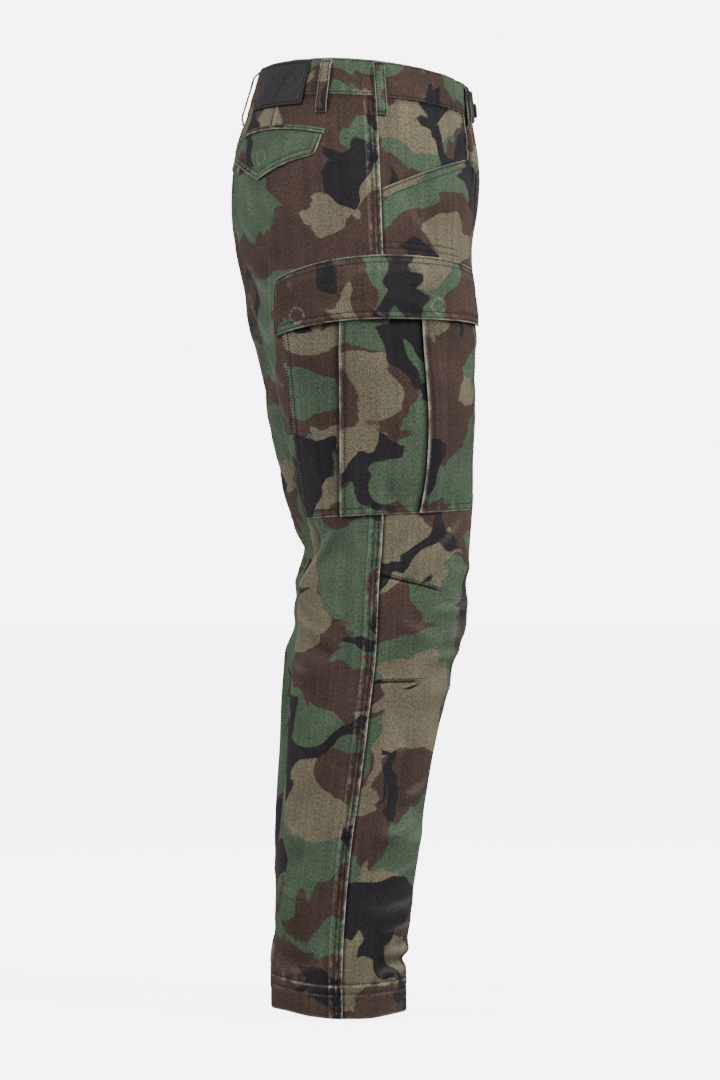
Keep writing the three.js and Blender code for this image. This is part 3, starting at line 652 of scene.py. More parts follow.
def stitches(name, rows, side, material, bold=1):
    """One short closed thread for each stitch along the rows, joined into one piece."""
    threads = []
    for on_cloth, out in rows:
        walked = walked_along(on_cloth)
        count = max(int(walked[-1] / STITCH_PITCH), 1)
        centre = (np.arange(count) + 0.5) * walked[-1] / count

        def along_row(values, at):
            return np.stack([np.interp(at, walked, values[:, k]) for k in range(3)], -1)

        up = unit(along_row(out, centre))
        heading = unit(along_row(on_cloth, centre + 0.5) - along_row(on_cloth, centre - 0.5))
        across = np.cross(heading, up)
        thread = []
        for shift, width, height in STITCH_STATIONS:
            middle = along_row(on_cloth, centre) + heading * shift + up * (height * 0.5)
            rise = height * 0.5 + THREAD_HALF
            for a, b in ((1, 0), (0, 1), (-1, 0), (0, -1)):
                thread.append(middle + across * (a * width * bold) + up * (b * rise))
        threads.append(np.stack(thread, 1))
    threads = placed(np.concatenate(threads), side)
    stations = len(STITCH_STATIONS)
    quads = [
        (4 * k + c, 4 * k + 4 + c, 4 * k + 4 + (c + 1) % 4, 4 * k + (c + 1) % 4)
        for k in range(stations - 1)
        for c in range(4)
    ]
    quads += [(0, 1, 2, 3), tuple(4 * (stations - 1) + c for c in (3, 2, 1, 0))]
    quads = np.array(quads)
    if side != "right":
        quads = quads[:, ::-1]
    first = (np.arange(len(threads)) * 4 * stations)[:, None, None]
    corner_lists = (quads[None] + first).reshape(-1, 4)
    mesh = bpy.data.meshes.new(name)
    mesh.from_pydata((threads.reshape(-1, 3) * MM).tolist(), [], corner_lists.tolist())
    mesh.materials.append(material)
    mesh.shade_smooth()
    in_place(name, mesh)


HAND_SEAM_LEVEL = -123
HAND_CORNER_LEVEL = -77
HAND_REACH = 132
HAND_CURVE = 0.75
HAND_ROWS = (2.2, 8.2)
HAND_FACED = 14
# level, across, to level, to across
KNEE_DARTS = [(-544, 2, -563, 84), (-661, 2, -660, 60)]
TACK_LEVEL = -180
TACK_REACH = 106
TACK_GAP = 7
TACK_SLOPE = 0.06


def hand_edge(level):
    """How far from the side seam the front panel begins, past the pocket opening."""
    t = np.clip((level - HAND_SEAM_LEVEL) / (HAND_CORNER_LEVEL - HAND_SEAM_LEVEL), 0, 1)
    return HAND_REACH * (1 - (1 - t) ** HAND_CURVE)


def puckered(away, along, seed, cell=7.5, width=8.0, rise=0.8):
    """The small waves that a shrunken thread pulls into the cloth beside it."""
    return rise * unevenness(along, away * 0.3, cell, seed) * hump(away, width)


def rubbed_edge(away, along, seed, width=1.6, strength=0.8):
    """Wear along a folded edge, patchy along its length."""
    patchy = np.clip(0.8 + 0.5 * unevenness(along, along * 0, 9, seed), 0.35, 1)
    return strength * patchy * hump(away, 0.75 * width)


def spaced(start, end, step, fine=()):
    """Positions from one end to the other, with extra ones at the given distances from both."""
    way = 1 if end > start else -1
    count = max(int(abs(end - start) / step), 1)
    places = list(np.linspace(start, end, count + 1)) + [start + way * f for f in fine]
    places += [end - way * f for f in fine]
    return np.array(sorted(set(np.round(places, 3)), reverse=way < 0))


def hem_height(level):
    """The hem's turned-up double layer, with a groove where it is sewn."""
    inside = smoothstep((HEM_TURN - level) / 3)
    groove = hump(level - HEM_TURN - 0.5, 1.6)
    pressed = hump(level - HEM_TURN + HEM_PRESS, 1.4)
    fold = smoothstep((HEM + 1.6 - level) / 1.6)
    return 0.5 * inside - 0.55 * groove - 0.3 * pressed - 0.7 * fold


def hem_sag(level, across):
    """How the hem's lower edge wanders up and down, since it is turned and sewn by hand."""
    return 1.8 * unevenness(across, level * 0, 31, 33) * smoothstep((HEM_TURN - level) / 30)


def hem_wear_and_shade(level, across):
    fold = rubbed_edge(level - HEM, across, 31, 2.2, 0.9)
    row = rubbed_edge(level - HEM_TURN + 2.2, across, 32, 2.0, 0.45)
    pressed = rubbed_edge(level - HEM_TURN + HEM_PRESS + 2, across, 34, 2.0, 0.35)
    # The pale lines are wear; the dark line in the pressed groove is painted shade.
    return fold + row + pressed - 0.4 * hump(level - HEM_TURN + HEM_PRESS, 1.4)


EDGE_STEPS = (0.5, 1.2, 2.2, 3.6, 5.5)
FEW_EDGE_STEPS = (0.5, 1.2)
EDGE_MARGIN = 8
COLUMN_STEP = 2.4
FRONT_COLUMNS = 56
PANEL_STEP = 3.4
FINE_STEP = 1.2
# The rows lie closer by the pocket's corner, the tack rows, the knee darts and the hem.
FINE_BANDS = [
    (HAND_SEAM_LEVEL, HAND_CORNER_LEVEL),
    (TACK_LEVEL + 3, TACK_LEVEL - 17),
    (-536, -572),
    (-654, -668),
    (HEM_TURN + 6, HEM),
]
bands = [spaced(start, end, FINE_STEP) for start, end in FINE_BANDS]
panel_levels = np.concatenate([spaced(WAIST_BOTTOM - 0.1, HEM, PANEL_STEP), *bands])
panel_levels = np.unique(panel_levels)[::-1]


def between_edges(start, end, count):
    """Rows of positions between two edges, with some close to each edge."""
    start = start[:, None]
    end = end[:, None]
    near = np.array(EDGE_STEPS)[None, :]
    even = np.linspace(0, 1, count + 1)[1:-1]
    middle = start + EDGE_MARGIN + (end - start - 2 * EDGE_MARGIN) * even
    return np.concatenate([start, start + near, middle, end - near[:, ::-1], end], axis=1)


def dart_height(level, across):
    """The knee darts: a narrow sunken seam below a small fold of cloth."""
    height = np.zeros(np.broadcast(level, across).shape)
    for at_level, at_across, to_level, to_across in KNEE_DARTS:
        t = (across - at_across) / (to_across - at_across)
        seam = at_level + (to_level - at_level) * t
        inside = smoothstep(t / 0.03) * smoothstep((1 - t) / 0.25)
        above_seam = level - seam
        height += inside * 0.6 * hump(above_seam - 3.0, 2.6)
        height -= inside * 1.1 * hump(above_seam + 0.7, 1.3)
    return height


def side_pull(level, across):
    """The side seam's waves, which both panels share."""
    return puckered(across + 4, level, 14, 7.0, 9, 0.8)


def tack_line(across, row):
    """The level of the two rows that hold the hand pocket's bag down above the thigh pocket."""
    return TACK_LEVEL - TACK_GAP * row - TACK_SLOPE * across


def front_height(level, across):
    beside_opening = level > HAND_SEAM_LEVEL
    open_here = beside_opening * (across - hand_edge(level))
    doubled = 0.35 * beside_opening * smoothstep((HAND_FACED - open_here) / 3)
    middle = reach(level, FRONT) - across
    pulls = puckered(open_here, level, 11) * beside_opening
    pulls = pulls + puckered(middle, level, 12) + puckered(level - HEM_TURN, across, 13, rise=1.1)
    pulls = pulls + side_pull(level, across)
    tacks = sum(hump(level - tack_line(across, row), 1.3) for row in (0, 1))
    tacks = 0.5 * tacks * smoothstep((TACK_REACH - across) / 3)
    return doubled + pulls + hem_height(level) + dart_height(level, across) - tacks


# Painted shadow: a dark line on the cloth just below the waistband's lower edge.
def shadow_under_band(level):
    return -0.55 * hump(level - WAIST_BOTTOM + 1.5, 2.2)


def front_wear_and_shade(level, across):
    edge = hand_edge(level)
    beside_opening = level > HAND_SEAM_LEVEL
    opening = rubbed_edge(across - edge, level, 21, 2.0, 0.8) + 0.45 * hump(across - edge - 0.5, 1.5)
    middle = reach(level, FRONT) - across
    # Painted shade: dark in the knee darts' sunken seams, in front of the side seam's raised edge and
    # just beyond the pocket opening's edge.
    darts = np.minimum(dart_height(level, across), 0) * 1.1
    shadow_beside_seam = -0.85 * hump(across - 2.4, 1.8) * (level < HAND_SEAM_LEVEL + 8)
    shadow_below_opening = -0.5 * hump(across - edge - 4, 2.5) * beside_opening
    wear_and_shade = opening * beside_opening + 0.4 * rubbed_edge(middle, level, 22) + hem_wear_and_shade(level, across)
    return wear_and_shade + shadow_under_band(level) + darts + shadow_beside_seam + shadow_below_opening


edge = hand_edge(panel_levels) + HIDDEN_GAP
across = between_edges(edge, reach(panel_levels, FRONT) - HIDDEN_GAP, FRONT_COLUMNS)
level = np.broadcast_to(panel_levels[:, None], across.shape)
thickness = np.where(level < HEM_TURN, 2 * TWILL, TWILL)
sagged = level + hem_sag(level, across)
height = front_height(level, across)
outer, inner = faces(sagged, across, height, thickness)
spot = np.stack([across, level], -1)


def cut_piece(spot, layers=1):
    """Works out the area and size of the piece of cloth when it was cut, from its places on the bolt,
    and keeps neither.
    """
    u, v = spot[..., 0] * MM, spot[..., 1] * MM
    across = (u[1:, 1:] - u[:-1, :-1]) * (v[1:, :-1] - v[:-1, 1:])
    area = 0.5 * np.abs(across - (u[1:, :-1] - u[:-1, 1:]) * (v[1:, 1:] - v[:-1, :-1])).sum()
    size = (float(np.ptp(u)), float(np.ptp(v)) * layers)
    area = min(float(area), size[0] * size[1])


def sewn(node, side, outer, inner, spot, wear_and_shade, held, rests_on, rows=(), layers=1):
    """A piece of the printed twill, sewn in its place with the rows of stitches that show on it."""
    name = f"{node}_{side}" if side else node
    piece = cloth_piece(f"{name}_cloth", outer, inner, spot, wear_and_shade, side, name, twill)
    cut_piece(spot, layers)
    if rows:
        stitches(f"{name}_stitches", rows, side, dark_thread)


front_rows = []
for inset in HAND_ROWS:
    row_level = np.linspace(WAIST_BOTTOM - 1, HAND_SEAM_LEVEL - 1.4 * inset, 160)
    row_across = hand_edge(row_level + 1.05 * inset) + 0.75 * inset
    front_rows.append(sewn_row(row_level, row_across, front_height, 0.1))
share = np.linspace(0, 1, 40)
for at_level, at_across, to_level, to_across in KNEE_DARTS:
    row_level = at_level + (to_level - at_level) * share + 2.4
    row_across = at_across + 3 + (to_across - at_across - 3) * share
    front_rows.append(sewn_row(row_level, row_across, front_height, 0.1))
row_across = np.linspace(3, TACK_REACH, 120)
for row in (0, 1):
    front_rows.append(sewn_row(tack_line(row_across, row), row_across, front_height))
row_across = np.linspace(2, reach(HEM_TURN, FRONT) - 1, 120)
front_rows.append(sewn_row(HEM_TURN + 0.4, row_across, front_height, 0.1))
wear_and_shade = front_wear_and_shade(level, across)
for side in SIDES:
    rests_on = ["waistband_cloth"]
    sewn("front_panel", side, outer, inner, spot, wear_and_shade, "hung", rests_on, front_rows)

# Back panels
# Two wider pieces of the same twill. The side seam is felled: the back panel's folded edge lies
# over the front panel and is sewn down with two rows. The inner leg and centre seams are felled
# in the same way, and the seat has a short dart.

FELL_WIDTH = 13
FELL_RISE = 0.8
FELL_OVERLAP = 1.2
FOLD_CLOTH = 0.7
SIDE_ROWS = (3.3, 8.0)
MIDDLE_ROWS = (2.5, 8.5)
MIDDLE_FOLD = 10.5
# level, across, to level, to across
SEAT_DART = (-17, -124, -52, -134)
# The band's columns, counted forward from the side seam. The panel goes on behind them.
FELL_COLUMNS = [FELL_OVERLAP, 0.8, 0.2, -0.6, -1.6, -2.4, -3.2, -4.4]
FELL_COLUMNS += [-6.0, -7.6, -9.2, -10.6, -12.0, -13.0, -14.0, -15.2]
BEHIND_FELL = 16.0
BACK_COLUMNS = 60


def seat_dart(level, across):
    at_level, at_across, to_level, to_across = SEAT_DART
    t = np.clip((level - at_level) / (to_level - at_level), 0, 1)
    away = across - at_across - (to_across - at_across) * t
    inside = smoothstep((level - to_level + 2) / 8)
    return inside * (0.6 * hump(away - 2, 2) - 0.9 * hump(away, 1.1))


def grooves(distance, rows, depth=0.35, width=1.0):
    """What rows of stitches press into the cloth, each at its distance from an edge."""
    return sum(depth * hump(distance - row, width) for row in rows)


def back_height(level, across):
    band = smoothstep((across + FELL_WIDTH + 2.0) / 2.0)
    middle = reach(level, BACK) - np.abs(across)
    pulled = 1 + 0.8 * unevenness(level, across * 0, 9, 29)
    pressed = pulled * grooves(-across, SIDE_ROWS, 1) + grooves(middle, MIDDLE_ROWS, 1, 0.9)
    seam_fold = 0.5 * smoothstep((MIDDLE_FOLD - middle) / 1.5)
    pulls = side_pull(level, across) + puckered(middle, level, 15, rise=1.1)
    pulls = pulls + puckered(level - HEM_TURN, across, 16, rise=1.1)
    pulls = pulls + puckered(level - WAIST_BOTTOM, across, 17, 8.0, 10, 0.8)
    height = (FELL_RISE + 0.3) * band - 0.35 * hump(across - FELL_OVERLAP, 0.5)
    height = height - 0.5 * pressed + seam_fold + pulls
    return height + hem_height(level) + seat_dart(level, across)


def back_wear_and_shade(level, across):
    edge = 0.4 * hump(across - FELL_OVERLAP + 0.3, 0.9)
    edge = edge + rubbed_edge(across - FELL_OVERLAP, level, 23, 1.5, 0.8)
    tufts = 0.4 * unevenness(level, across * 1.3, 3.2, 28)
    band = (0.06 + tufts) * smoothstep((across + FELL_WIDTH + 1) / 3)
    # The felled band is made darker along its two rows of stitches.
    band = band - grooves(-across, SIDE_ROWS, 0.55, 1.1)
    ridge = 0.35 * rubbed_edge(across + FELL_WIDTH, level, 24, 1.4)
    middle = reach(level, BACK) - np.abs(across)
    seam = 0.45 * rubbed_edge(middle - 10, level, 25, 2.0) + 0.3 * rubbed_edge(middle, level, 26, 2.4)
    # The dart's fold is pale with wear; its sunken seam gets painted shade.
    dart = seat_dart(level, across)
    dart = 1.6 * np.maximum(dart, 0) + 0.9 * np.minimum(dart, 0)
    return edge + band + ridge + seam + dart + hem_wear_and_shade(level, across) + shadow_under_band(level)


far_edge = reach(panel_levels, BACK) - HIDDEN_GAP
body = between_edges(np.full(len(panel_levels), BEHIND_FELL), far_edge, BACK_COLUMNS)
banded = np.broadcast_to(FELL_COLUMNS, (len(panel_levels), len(FELL_COLUMNS)))
across = np.concatenate([banded, -body], axis=1)
level = np.broadcast_to(panel_levels[:, None], across.shape)
thickness = np.where(level < HEM_TURN, 2 * TWILL, TWILL) + FELL_RISE * smoothstep((across + 15) / 2)
thickness = np.where(across > 0.1, FOLD_CLOTH, thickness)
sagged = level + hem_sag(level, across)
height = back_height(level, across)
outer, inner = faces(sagged, across, height, thickness)
spot = np.stack([across, level], -1)
row_level = np.linspace(WAIST_BOTTOM - 2, HEM + 1, 500)
row_places = [-inset for inset in SIDE_ROWS]
row_places += [inset - reach(row_level, BACK) for inset in MIDDLE_ROWS]
back_rows = [sewn_row(row_level, place, back_height) for place in row_places]
row_across = -np.linspace(1, reach(HEM_TURN, BACK) - 1, 120)
back_rows.append(sewn_row(HEM_TURN + 0.4, row_across, back_height, 0.1))
wear_and_shade = back_wear_and_shade(level, across)
for side in SIDES:
    rests_on = ["waistband_cloth"]
    sewn("back_panel", side, outer, inner, spot, wear_and_shade, "hung", rests_on, back_rows)

# Hand pocket facings
# The piece of the same cloth that shows above each pocket opening. It is sewn into the waist
# and side seams and runs on behind the front panel, where the pocket bag begins.

FACING_TUCK = 16
FACING_CLOTH = 0.9
FACING_CREASES = [
    # level, across, to level, to across, width, rise
    (-74, 128, -108, 74, 8, 1.3),
    (-92, 126, -116, 66, 6, -1.2),
    (-50, 124, -88, 96, 7, -0.9),
    (-30, 60, -70, 88, 10, 0.8),
    (-84, 40, -120, 22, 9, 0.7),
]
facing_levels = spaced(WAIST_BOTTOM - 0.1, HAND_SEAM_LEVEL - FACING_TUCK, 3.0)
level, share = grid(facing_levels, np.linspace(0, 1, 50))
across = HIDDEN_GAP + (hand_edge(level + FACING_TUCK) + FACING_TUCK - HIDDEN_GAP) * share
height = -0.1 - 1.4 * smoothstep(across / 12) + ridges(level, across, FACING_CREASES)
height = height + side_pull(level, across) + puckered(level - WAIST_BOTTOM, across, 18)
outer, inner = faces(level, across, height, FACING_CLOTH)
spot = np.stack([across, level], -1)
# Painted shade on the facing: under the waistband and along the front panel's opening edge, where it
# runs in behind.
wear_and_shade = shadow_under_band(level) - 0.5 * hump(hand_edge(level) - across, 4)
for side in SIDES:
    rests_on = [f"front_panel_{side}_cloth"]
    sewn("hand_pocket_facing", side, outer, inner, spot, wear_and_shade, "stretched", rests_on)

# Thigh pockets
# A patch of twill over each side seam with two knife pleats, each sewn along its folded edge,
# so that it can open out. Its back, front and bottom edges are turned under and sewn twice.

POCKET_CLOTH = 0.9
POCKET_CLEAR = 0.5
POCKET_BACK = -108
POCKET_FRONT = 130
POCKET_LENGTH = 257
POCKET_BELOW_FLAP = 22
POCKET_BOTTOM = -478
POCKET_BOTTOM_SLOPE = 0.045
POCKET_PUFF = 2.4
POCKET_BACK_SPREAD = 11
POCKET_FRONT_SPREAD = 3
PLEATS = (-46, 41)
PLEAT_BOW = 9
# Each pleat lies open over its depth, then eases down, at these distances, by these layers.
PLEAT_DEPTH = 16
PLEAT_EASE = ((2, 2), (8, 1.2), (14, 0.4), (20, 0))
PLEAT_BOW_REACH = 35
PLEAT_ROW = 5.5
POCKET_ROWS = (2.2, 8.0)
BOLD_THREAD = 1.9
LAYER = 1.4
FLAP_BACK = -128
FLAP_FRONT = 141
FLAP_TOP = -195
FLAP_TOP_DROPS = (25, 11)
FLAP_DROP = 70
FLAP_FOOT_DROPS = (17, 5)
POCKET_CREASES = [
    # level, across, to level, to across, width, rise
    (-262, -82, -420, -76, 12, 1.1),
    (-280, -62, -380, -92, 9, -0.9),
    (-262, -18, -470, -8, 14, 1.2),
    (-270, 14, -400, 22, 9, -1.0),
    (-300, 34, -470, 30, 9, 0.9),
    (-262, 92, -380, 84, 10, 1.2),
    (-330, 110, -460, 104, 9, -1.0),
    (-400, -90, -470, -60, 8, 0.9),
    (-420, 70, -474, 96, 9, 1.0),
    (-440, 0, -474, 24, 8, -0.9),
]


def along_flap(across):
    return (2 * across - FLAP_BACK - FLAP_FRONT) / (FLAP_FRONT - FLAP_BACK)


def flap_top(across):
    t = along_flap(across)
    return FLAP_TOP - np.where(t < 0, *FLAP_TOP_DROPS) * t * t


def flap_bottom(across):
    t = along_flap(across)
    return FLAP_TOP - FLAP_DROP - np.where(t < 0, *FLAP_FOOT_DROPS) * t * t


def over_band(across):
    """The rise of what crosses the side seam's felled band."""
    edge = np.where(across > 0, across, -FELL_WIDTH - across)
    return FELL_RISE * (1 - smoothstep((edge - 2) / 8))


def puff(level, across):
    s = np.clip((across - POCKET_BACK) / (POCKET_FRONT - POCKET_BACK), 0, 1)
    top = FLAP_TOP - POCKET_BELOW_FLAP
    t = np.clip((level - POCKET_BOTTOM) / (top - POCKET_BOTTOM), 0, 1)
    return POCKET_PUFF * np.sin(math.pi * s) ** 0.6 * np.sin(math.pi * (t + 0.08) / 1.3) ** 0.8


def pleated_line():
    """The pocket's cut across: distances round the leg and heights of its cloth's middle."""
    low = POCKET_CLEAR + POCKET_CLOTH / 2
    turn = LAYER / 2
    line = [(POCKET_BACK, low)]
    half_turn = np.linspace(-math.pi / 2, math.pi / 2, 7)
    for pleat in PLEATS:
        deep = pleat + PLEAT_DEPTH
        for a in half_turn:
            line.append((deep - turn + turn * math.cos(a), low + turn + turn * math.sin(a)))
        for a in half_turn:
            rise = 1.5 * LAYER + 0.5 * LAYER * math.sin(a)
            line.append((pleat + turn - turn * math.cos(a), low + rise))
        line += [(deep + along, low + layers * LAYER) for along, layers in PLEAT_EASE]
    line.append((POCKET_FRONT, low))
    fine = [line[0]]
    for a, b in zip(line, line[1:]):
        count = max(int(math.dist(a, b) / 2.6), 1)
        for k in range(1, count + 1):
            fine.append((a[0] + (b[0] - a[0]) * k / count, a[1] + (b[1] - a[1]) * k / count))
    return np.array(fine)


middle_line = pleated_line()
line_way = unit(np.gradient(middle_line, axis=0))
line_out = np.stack([-line_way[:, 1], line_way[:, 0]], -1)
line_length = walked_along(middle_line)
from_ends = np.minimum(line_length, line_length[-1] - line_length)
outer_line = middle_line + line_out * (POCKET_CLOTH / 2)
inner_line = middle_line - line_out * (POCKET_CLOTH / 2)
ends_down = -0.55 * hump(from_ends, 1.2)
outer_line[:, 1] += ends_down
inner_line[:, 1] += 0.4 * ends_down
pocket_shares = np.unique(np.concatenate([np.linspace(0, 1, 90), [0.9985, 0.9955, 0.985, 0.975, 0.965]]))


def pocket_level(across, share):
    top = flap_top(across) - POCKET_BELOW_FLAP
    return top + (POCKET_BOTTOM + POCKET_BOTTOM_SLOPE * across - top) * share


def pocket_relief(level, across, share):
    creases = ridges(level, across, POCKET_CREASES)
    below = (1 - share) * POCKET_LENGTH
    bottom = -0.9 * hump(below, 1.0) + puckered(below - 5, across, 41, rise=0.9)
    back = puckered(across - POCKET_BACK - 5, level, 42, rise=0.9)
    front = puckered(POCKET_FRONT - across - 5, level, 43, rise=0.9)
    sides = np.minimum(across - POCKET_BACK, POCKET_FRONT - across) / 12
    return bottom + back + front + creases * smoothstep(sides) + puff(level, across)


def pocket_shift(across, share):
    """How far the pocket's spread upper edges and bowed front pleat lie from a straight cut."""
    back = -POCKET_BACK_SPREAD * (1 - share) * smoothstep((-60 - across) / 46)
    front = POCKET_FRONT_SPREAD * (1 - share) * smoothstep((across - 84) / 46)
    away = (across - PLEATS[1] - 4) / PLEAT_BOW_REACH
    return back + front + PLEAT_BOW * np.sin(math.pi * share**1.6) * np.exp(-away * away)


def pocket_grid(line):
    share, across = grid(pocket_shares, line[:, 0])
    level = pocket_level(across, share)
    relief = pocket_relief(level, middle_line[:, 0], share)
    place = across + pocket_shift(across, share)
    return lifted(level, place, line[:, 1] + relief + over_band(place)), level


def pocket_row(across, share, height):
    level = pocket_level(across, share)
    place = across + pocket_shift(across, share)
    height = height + pocket_relief(level, across, share) + over_band(place)
    return seam_row(level, place, height + 0.1)


outer, level = pocket_grid(outer_line)
inner, _ = pocket_grid(inner_line)
share, across = grid(pocket_shares, middle_line[:, 0])
spot = np.stack([np.broadcast_to(line_length, level.shape), level], -1)
on_top = middle_line[:, 1] > POCKET_CLEAR + POCKET_CLOTH / 2 + LAYER * 1.2
wear_and_shade = rubbed_edge((1 - share) * POCKET_LENGTH, across, 51, 2.2, 0.9)
wear_and_shade += rubbed_edge(across - POCKET_BACK, level, 52, 2.8, 1.3)
wear_and_shade += rubbed_edge(POCKET_FRONT - across, level, 53, 2.2, 1.0)
for pleat in PLEATS:
    wear_and_shade += rubbed_edge(across - pleat, level, 54, 1.6, 1.0) * on_top
    # Painted shadow on the lower cloth under each pleat's folded edge.
    wear_and_shade -= 0.9 * hump(across - pleat + 1, 3.5) * ~on_top
    # Darker along each pleat's row of stitches.
    wear_and_shade -= 0.45 * hump(across - pleat - PLEAT_ROW, 1.5) * on_top
# Painted shadow on the pocket just below the flap's lower edge.
wear_and_shade -= 0.55 * hump(level - flap_bottom(across) + 1, 4)
row_height = POCKET_CLEAR + POCKET_CLOTH
pocket_rows = []
back_edge_rows = []
for inset in POCKET_ROWS:
    foot = 1 - inset / POCKET_LENGTH
    row_share = np.linspace(0.01, foot, 200)
    back_edge_rows.append(pocket_row(POCKET_BACK + inset, row_share, row_height))
    pocket_rows.append(pocket_row(POCKET_FRONT - inset, row_share, row_height))
    row_across = np.linspace(POCKET_BACK + inset, POCKET_FRONT - inset, 300)
    over_pleats = np.full(row_across.shape, row_height)
    for pleat in PLEATS:
        over = (row_across > pleat) * (row_across < pleat + PLEAT_DEPTH + PLEAT_EASE[-1][0])
        eased = np.interp(row_across - pleat - PLEAT_DEPTH, *zip(*PLEAT_EASE))
        over_pleats += over * eased * LAYER
    pocket_rows.append(pocket_row(row_across, foot, over_pleats))
row_share = np.linspace(0.02, 0.985, 200)
for pleat in PLEATS:
    pocket_rows.append(pocket_row(pleat + PLEAT_ROW, row_share, row_height + 2 * LAYER))
for side in SIDES:
    rests_on = [f"back_panel_{side}_cloth", f"front_panel_{side}_cloth"]
    sewn("thigh_pocket", side, outer, inner, spot, wear_and_shade, "folded", rests_on, pocket_rows)
    stitches(f"thigh_pocket_{side}_back_stitches", back_edge_rows, side, dark_thread, BOLD_THREAD)

# Thigh pocket flaps
# Two layers of twill sewn round and turned out, sewn to the leg along the top and hanging over
# the pleats. Hidden buttons below press a ring into each end.

FLAP_CLOTH = 1.8
FLAP_CLEAR = 4.8
FLAP_LIFT = 0.4
FLAP_ENDS_FALL = 1.6
FLAP_ROWS = (2.2, 8.2)
# across, level
FLAP_BUTTONS = ((-93, -261), (60, -251))
BUTTON_RING = 8.3
FLAP_CREASES = [
    # level, across, to level, to across, width, rise
    (-238, -60, -214, -24, 6, 1.1),
    (-246, -58, -244, -10, 5, -0.9),
    (-256, -66, -262, -30, 5, 0.9),
    (-236, -96, -220, -110, 5, 0.9),
    (-262, -96, -276, -106, 5, -0.8),
    (-226, 30, -232, 100, 7, 0.9),
    (-240, 4, -252, 52, 6, 0.8),
    (-250, 92, -258, 126, 5, 0.9),
    (-232, 96, -222, 124, 5, -0.8),
    (-258, 22, -264, 60, 5, -0.7),
]


def flap_inset(level, across):
    """How far a place on the flap is from its nearest loose edge."""
    sides = np.minimum(across - FLAP_BACK, FLAP_FRONT - across)
    return np.minimum(sides, level - flap_bottom(across))


def button_ring(away, ring, middle):
    """The ring that a hidden button's edge presses into the cloth, and the swell inside it."""
    return ring * hump(away - BUTTON_RING, 1.1) + middle * smoothstep((9 - away) / 2)


def flap_height(level, across):
    """The height of the flap's outer face: from the leg's surface out over the pleats."""
    top = flap_top(across)
    drop = (top - level) / (top - flap_bottom(across))
    opened = smoothstep(drop / 0.28)
    ends = smoothstep((np.abs(along_flap(across)) - 0.72) / 0.28)
    clear = FLAP_CLEAR - FLAP_ENDS_FALL * ends - FLAP_LIFT + puff(level, across)
    out = FLAP_LIFT + clear * opened
    inset = flap_inset(level, across)
    turned = -0.9 * hump(inset, 0.7) - 0.35 * hump(top - level, 1.0)
    rows = grooves(inset, FLAP_ROWS) + grooves(top - level, FLAP_ROWS)
    pulls = puckered(inset - 5, across + level, 61, rise=0.7)
    pulls = pulls + puckered(top - level - 5, across, 62, rise=0.7)
    rings = sum(button_ring(np.hypot(across - a, level - b), 0.55, 0.35) for a, b in FLAP_BUTTONS)
    creases = ridges(level, across, FLAP_CREASES) * smoothstep(inset / 6) * opened
    return out + over_band(across) + FLAP_CLOTH + turned - rows + pulls + rings + creases


def flap_wear(level, across):
    top = flap_top(across)
    inset = flap_inset(level, across)
    wear_and_shade = rubbed_edge(inset, across + level, 63, 1.7, 1.0)
    wear_and_shade = wear_and_shade + 0.3 * rubbed_edge(inset - 5.2, across + level, 64, 1.8)
    wear_and_shade = wear_and_shade + rubbed_edge(top - level, across, 65, 1.7, 0.8)
    wear_and_shade = wear_and_shade + 0.4 * rubbed_edge(top - level - 5.2, across, 66, 1.8)
    for at_across, at_level in FLAP_BUTTONS:
        away = np.hypot(across - at_across, level - at_level)
        wear_and_shade = wear_and_shade + 0.3 * hump(away - BUTTON_RING, 1.0)
    return wear_and_shade


columns = spaced(FLAP_BACK, FLAP_FRONT, COLUMN_STEP, EDGE_STEPS)
drops = np.concatenate([np.linspace(0, 1, 34), [0.01, 0.02, 0.035, 0.96, 0.975, 0.985, 0.993]])
share, across = grid(np.unique(drops), columns)
level = flap_top(across) + (flap_bottom(across) - flap_top(across)) * share
height = flap_height(level, across)
outer = lifted(level, across, height)
inner = lifted(level, across, height - FLAP_CLOTH + 0.3)
spot = np.stack([across, level], -1)
flap_rows = []
for inset in FLAP_ROWS:
    row_across = np.linspace(FLAP_BACK + inset, FLAP_FRONT - inset, 300)
    flap_rows.append(sewn_row(flap_top(row_across) - inset, row_across, flap_height))
    flap_rows.append(sewn_row(flap_bottom(row_across) + inset, row_across, flap_height))
    for end in (row_across[0], row_across[-1]):
        row_level = np.linspace(flap_top(end) - 2, flap_bottom(end) + inset, 80)
        flap_rows.append(sewn_row(row_level, end, flap_height))
wear_and_shade = flap_wear(level, across)
for side in SIDES:
    rests_on = [f"back_panel_{side}_cloth", f"front_panel_{side}_cloth"]
    sewn("thigh_flap", side, outer, inner, spot, wear_and_shade, "hung", rests_on, flap_rows)

# Back pockets
# On each side of the seat a narrow welt lies over the pocket's slit, and a pointed flap of two
# layers hangs from it, closed by a hidden button that presses a ring into it.

SEAT_MIDDLE = -138
SEAT_HALF = 78
WELT_LEVEL = -53
WELT_HEIGHT = 5
WELT_CLOTH = 1.8
WELT_LIFT = 2.3
WELT_ROWS = (5, 4.6, 4.0, 3.2, 2.4, 1.6, 1.0, 0.4, 0)
SEAT_CLOTH = 1.5
SEAT_LIFT = 2.1
SEAT_HANG = 1.8
SEAT_ARCH = 7
SEAT_LEAN = 0.2
SEAT_FRONT_LEAN = 0.25
SEAT_FLAP_SIDE = 24
SEAT_FLAP_POINT = 56
SEAT_FLAP_ROWS = (2.2, 8.0)
SEAT_BUTTON = (-143, -84)


def seat_line(across):
    """The level of the welt's lower edge, which is arched."""
    return WELT_LEVEL - SEAT_ARCH * ((across - SEAT_MIDDLE) / SEAT_HALF) ** 2


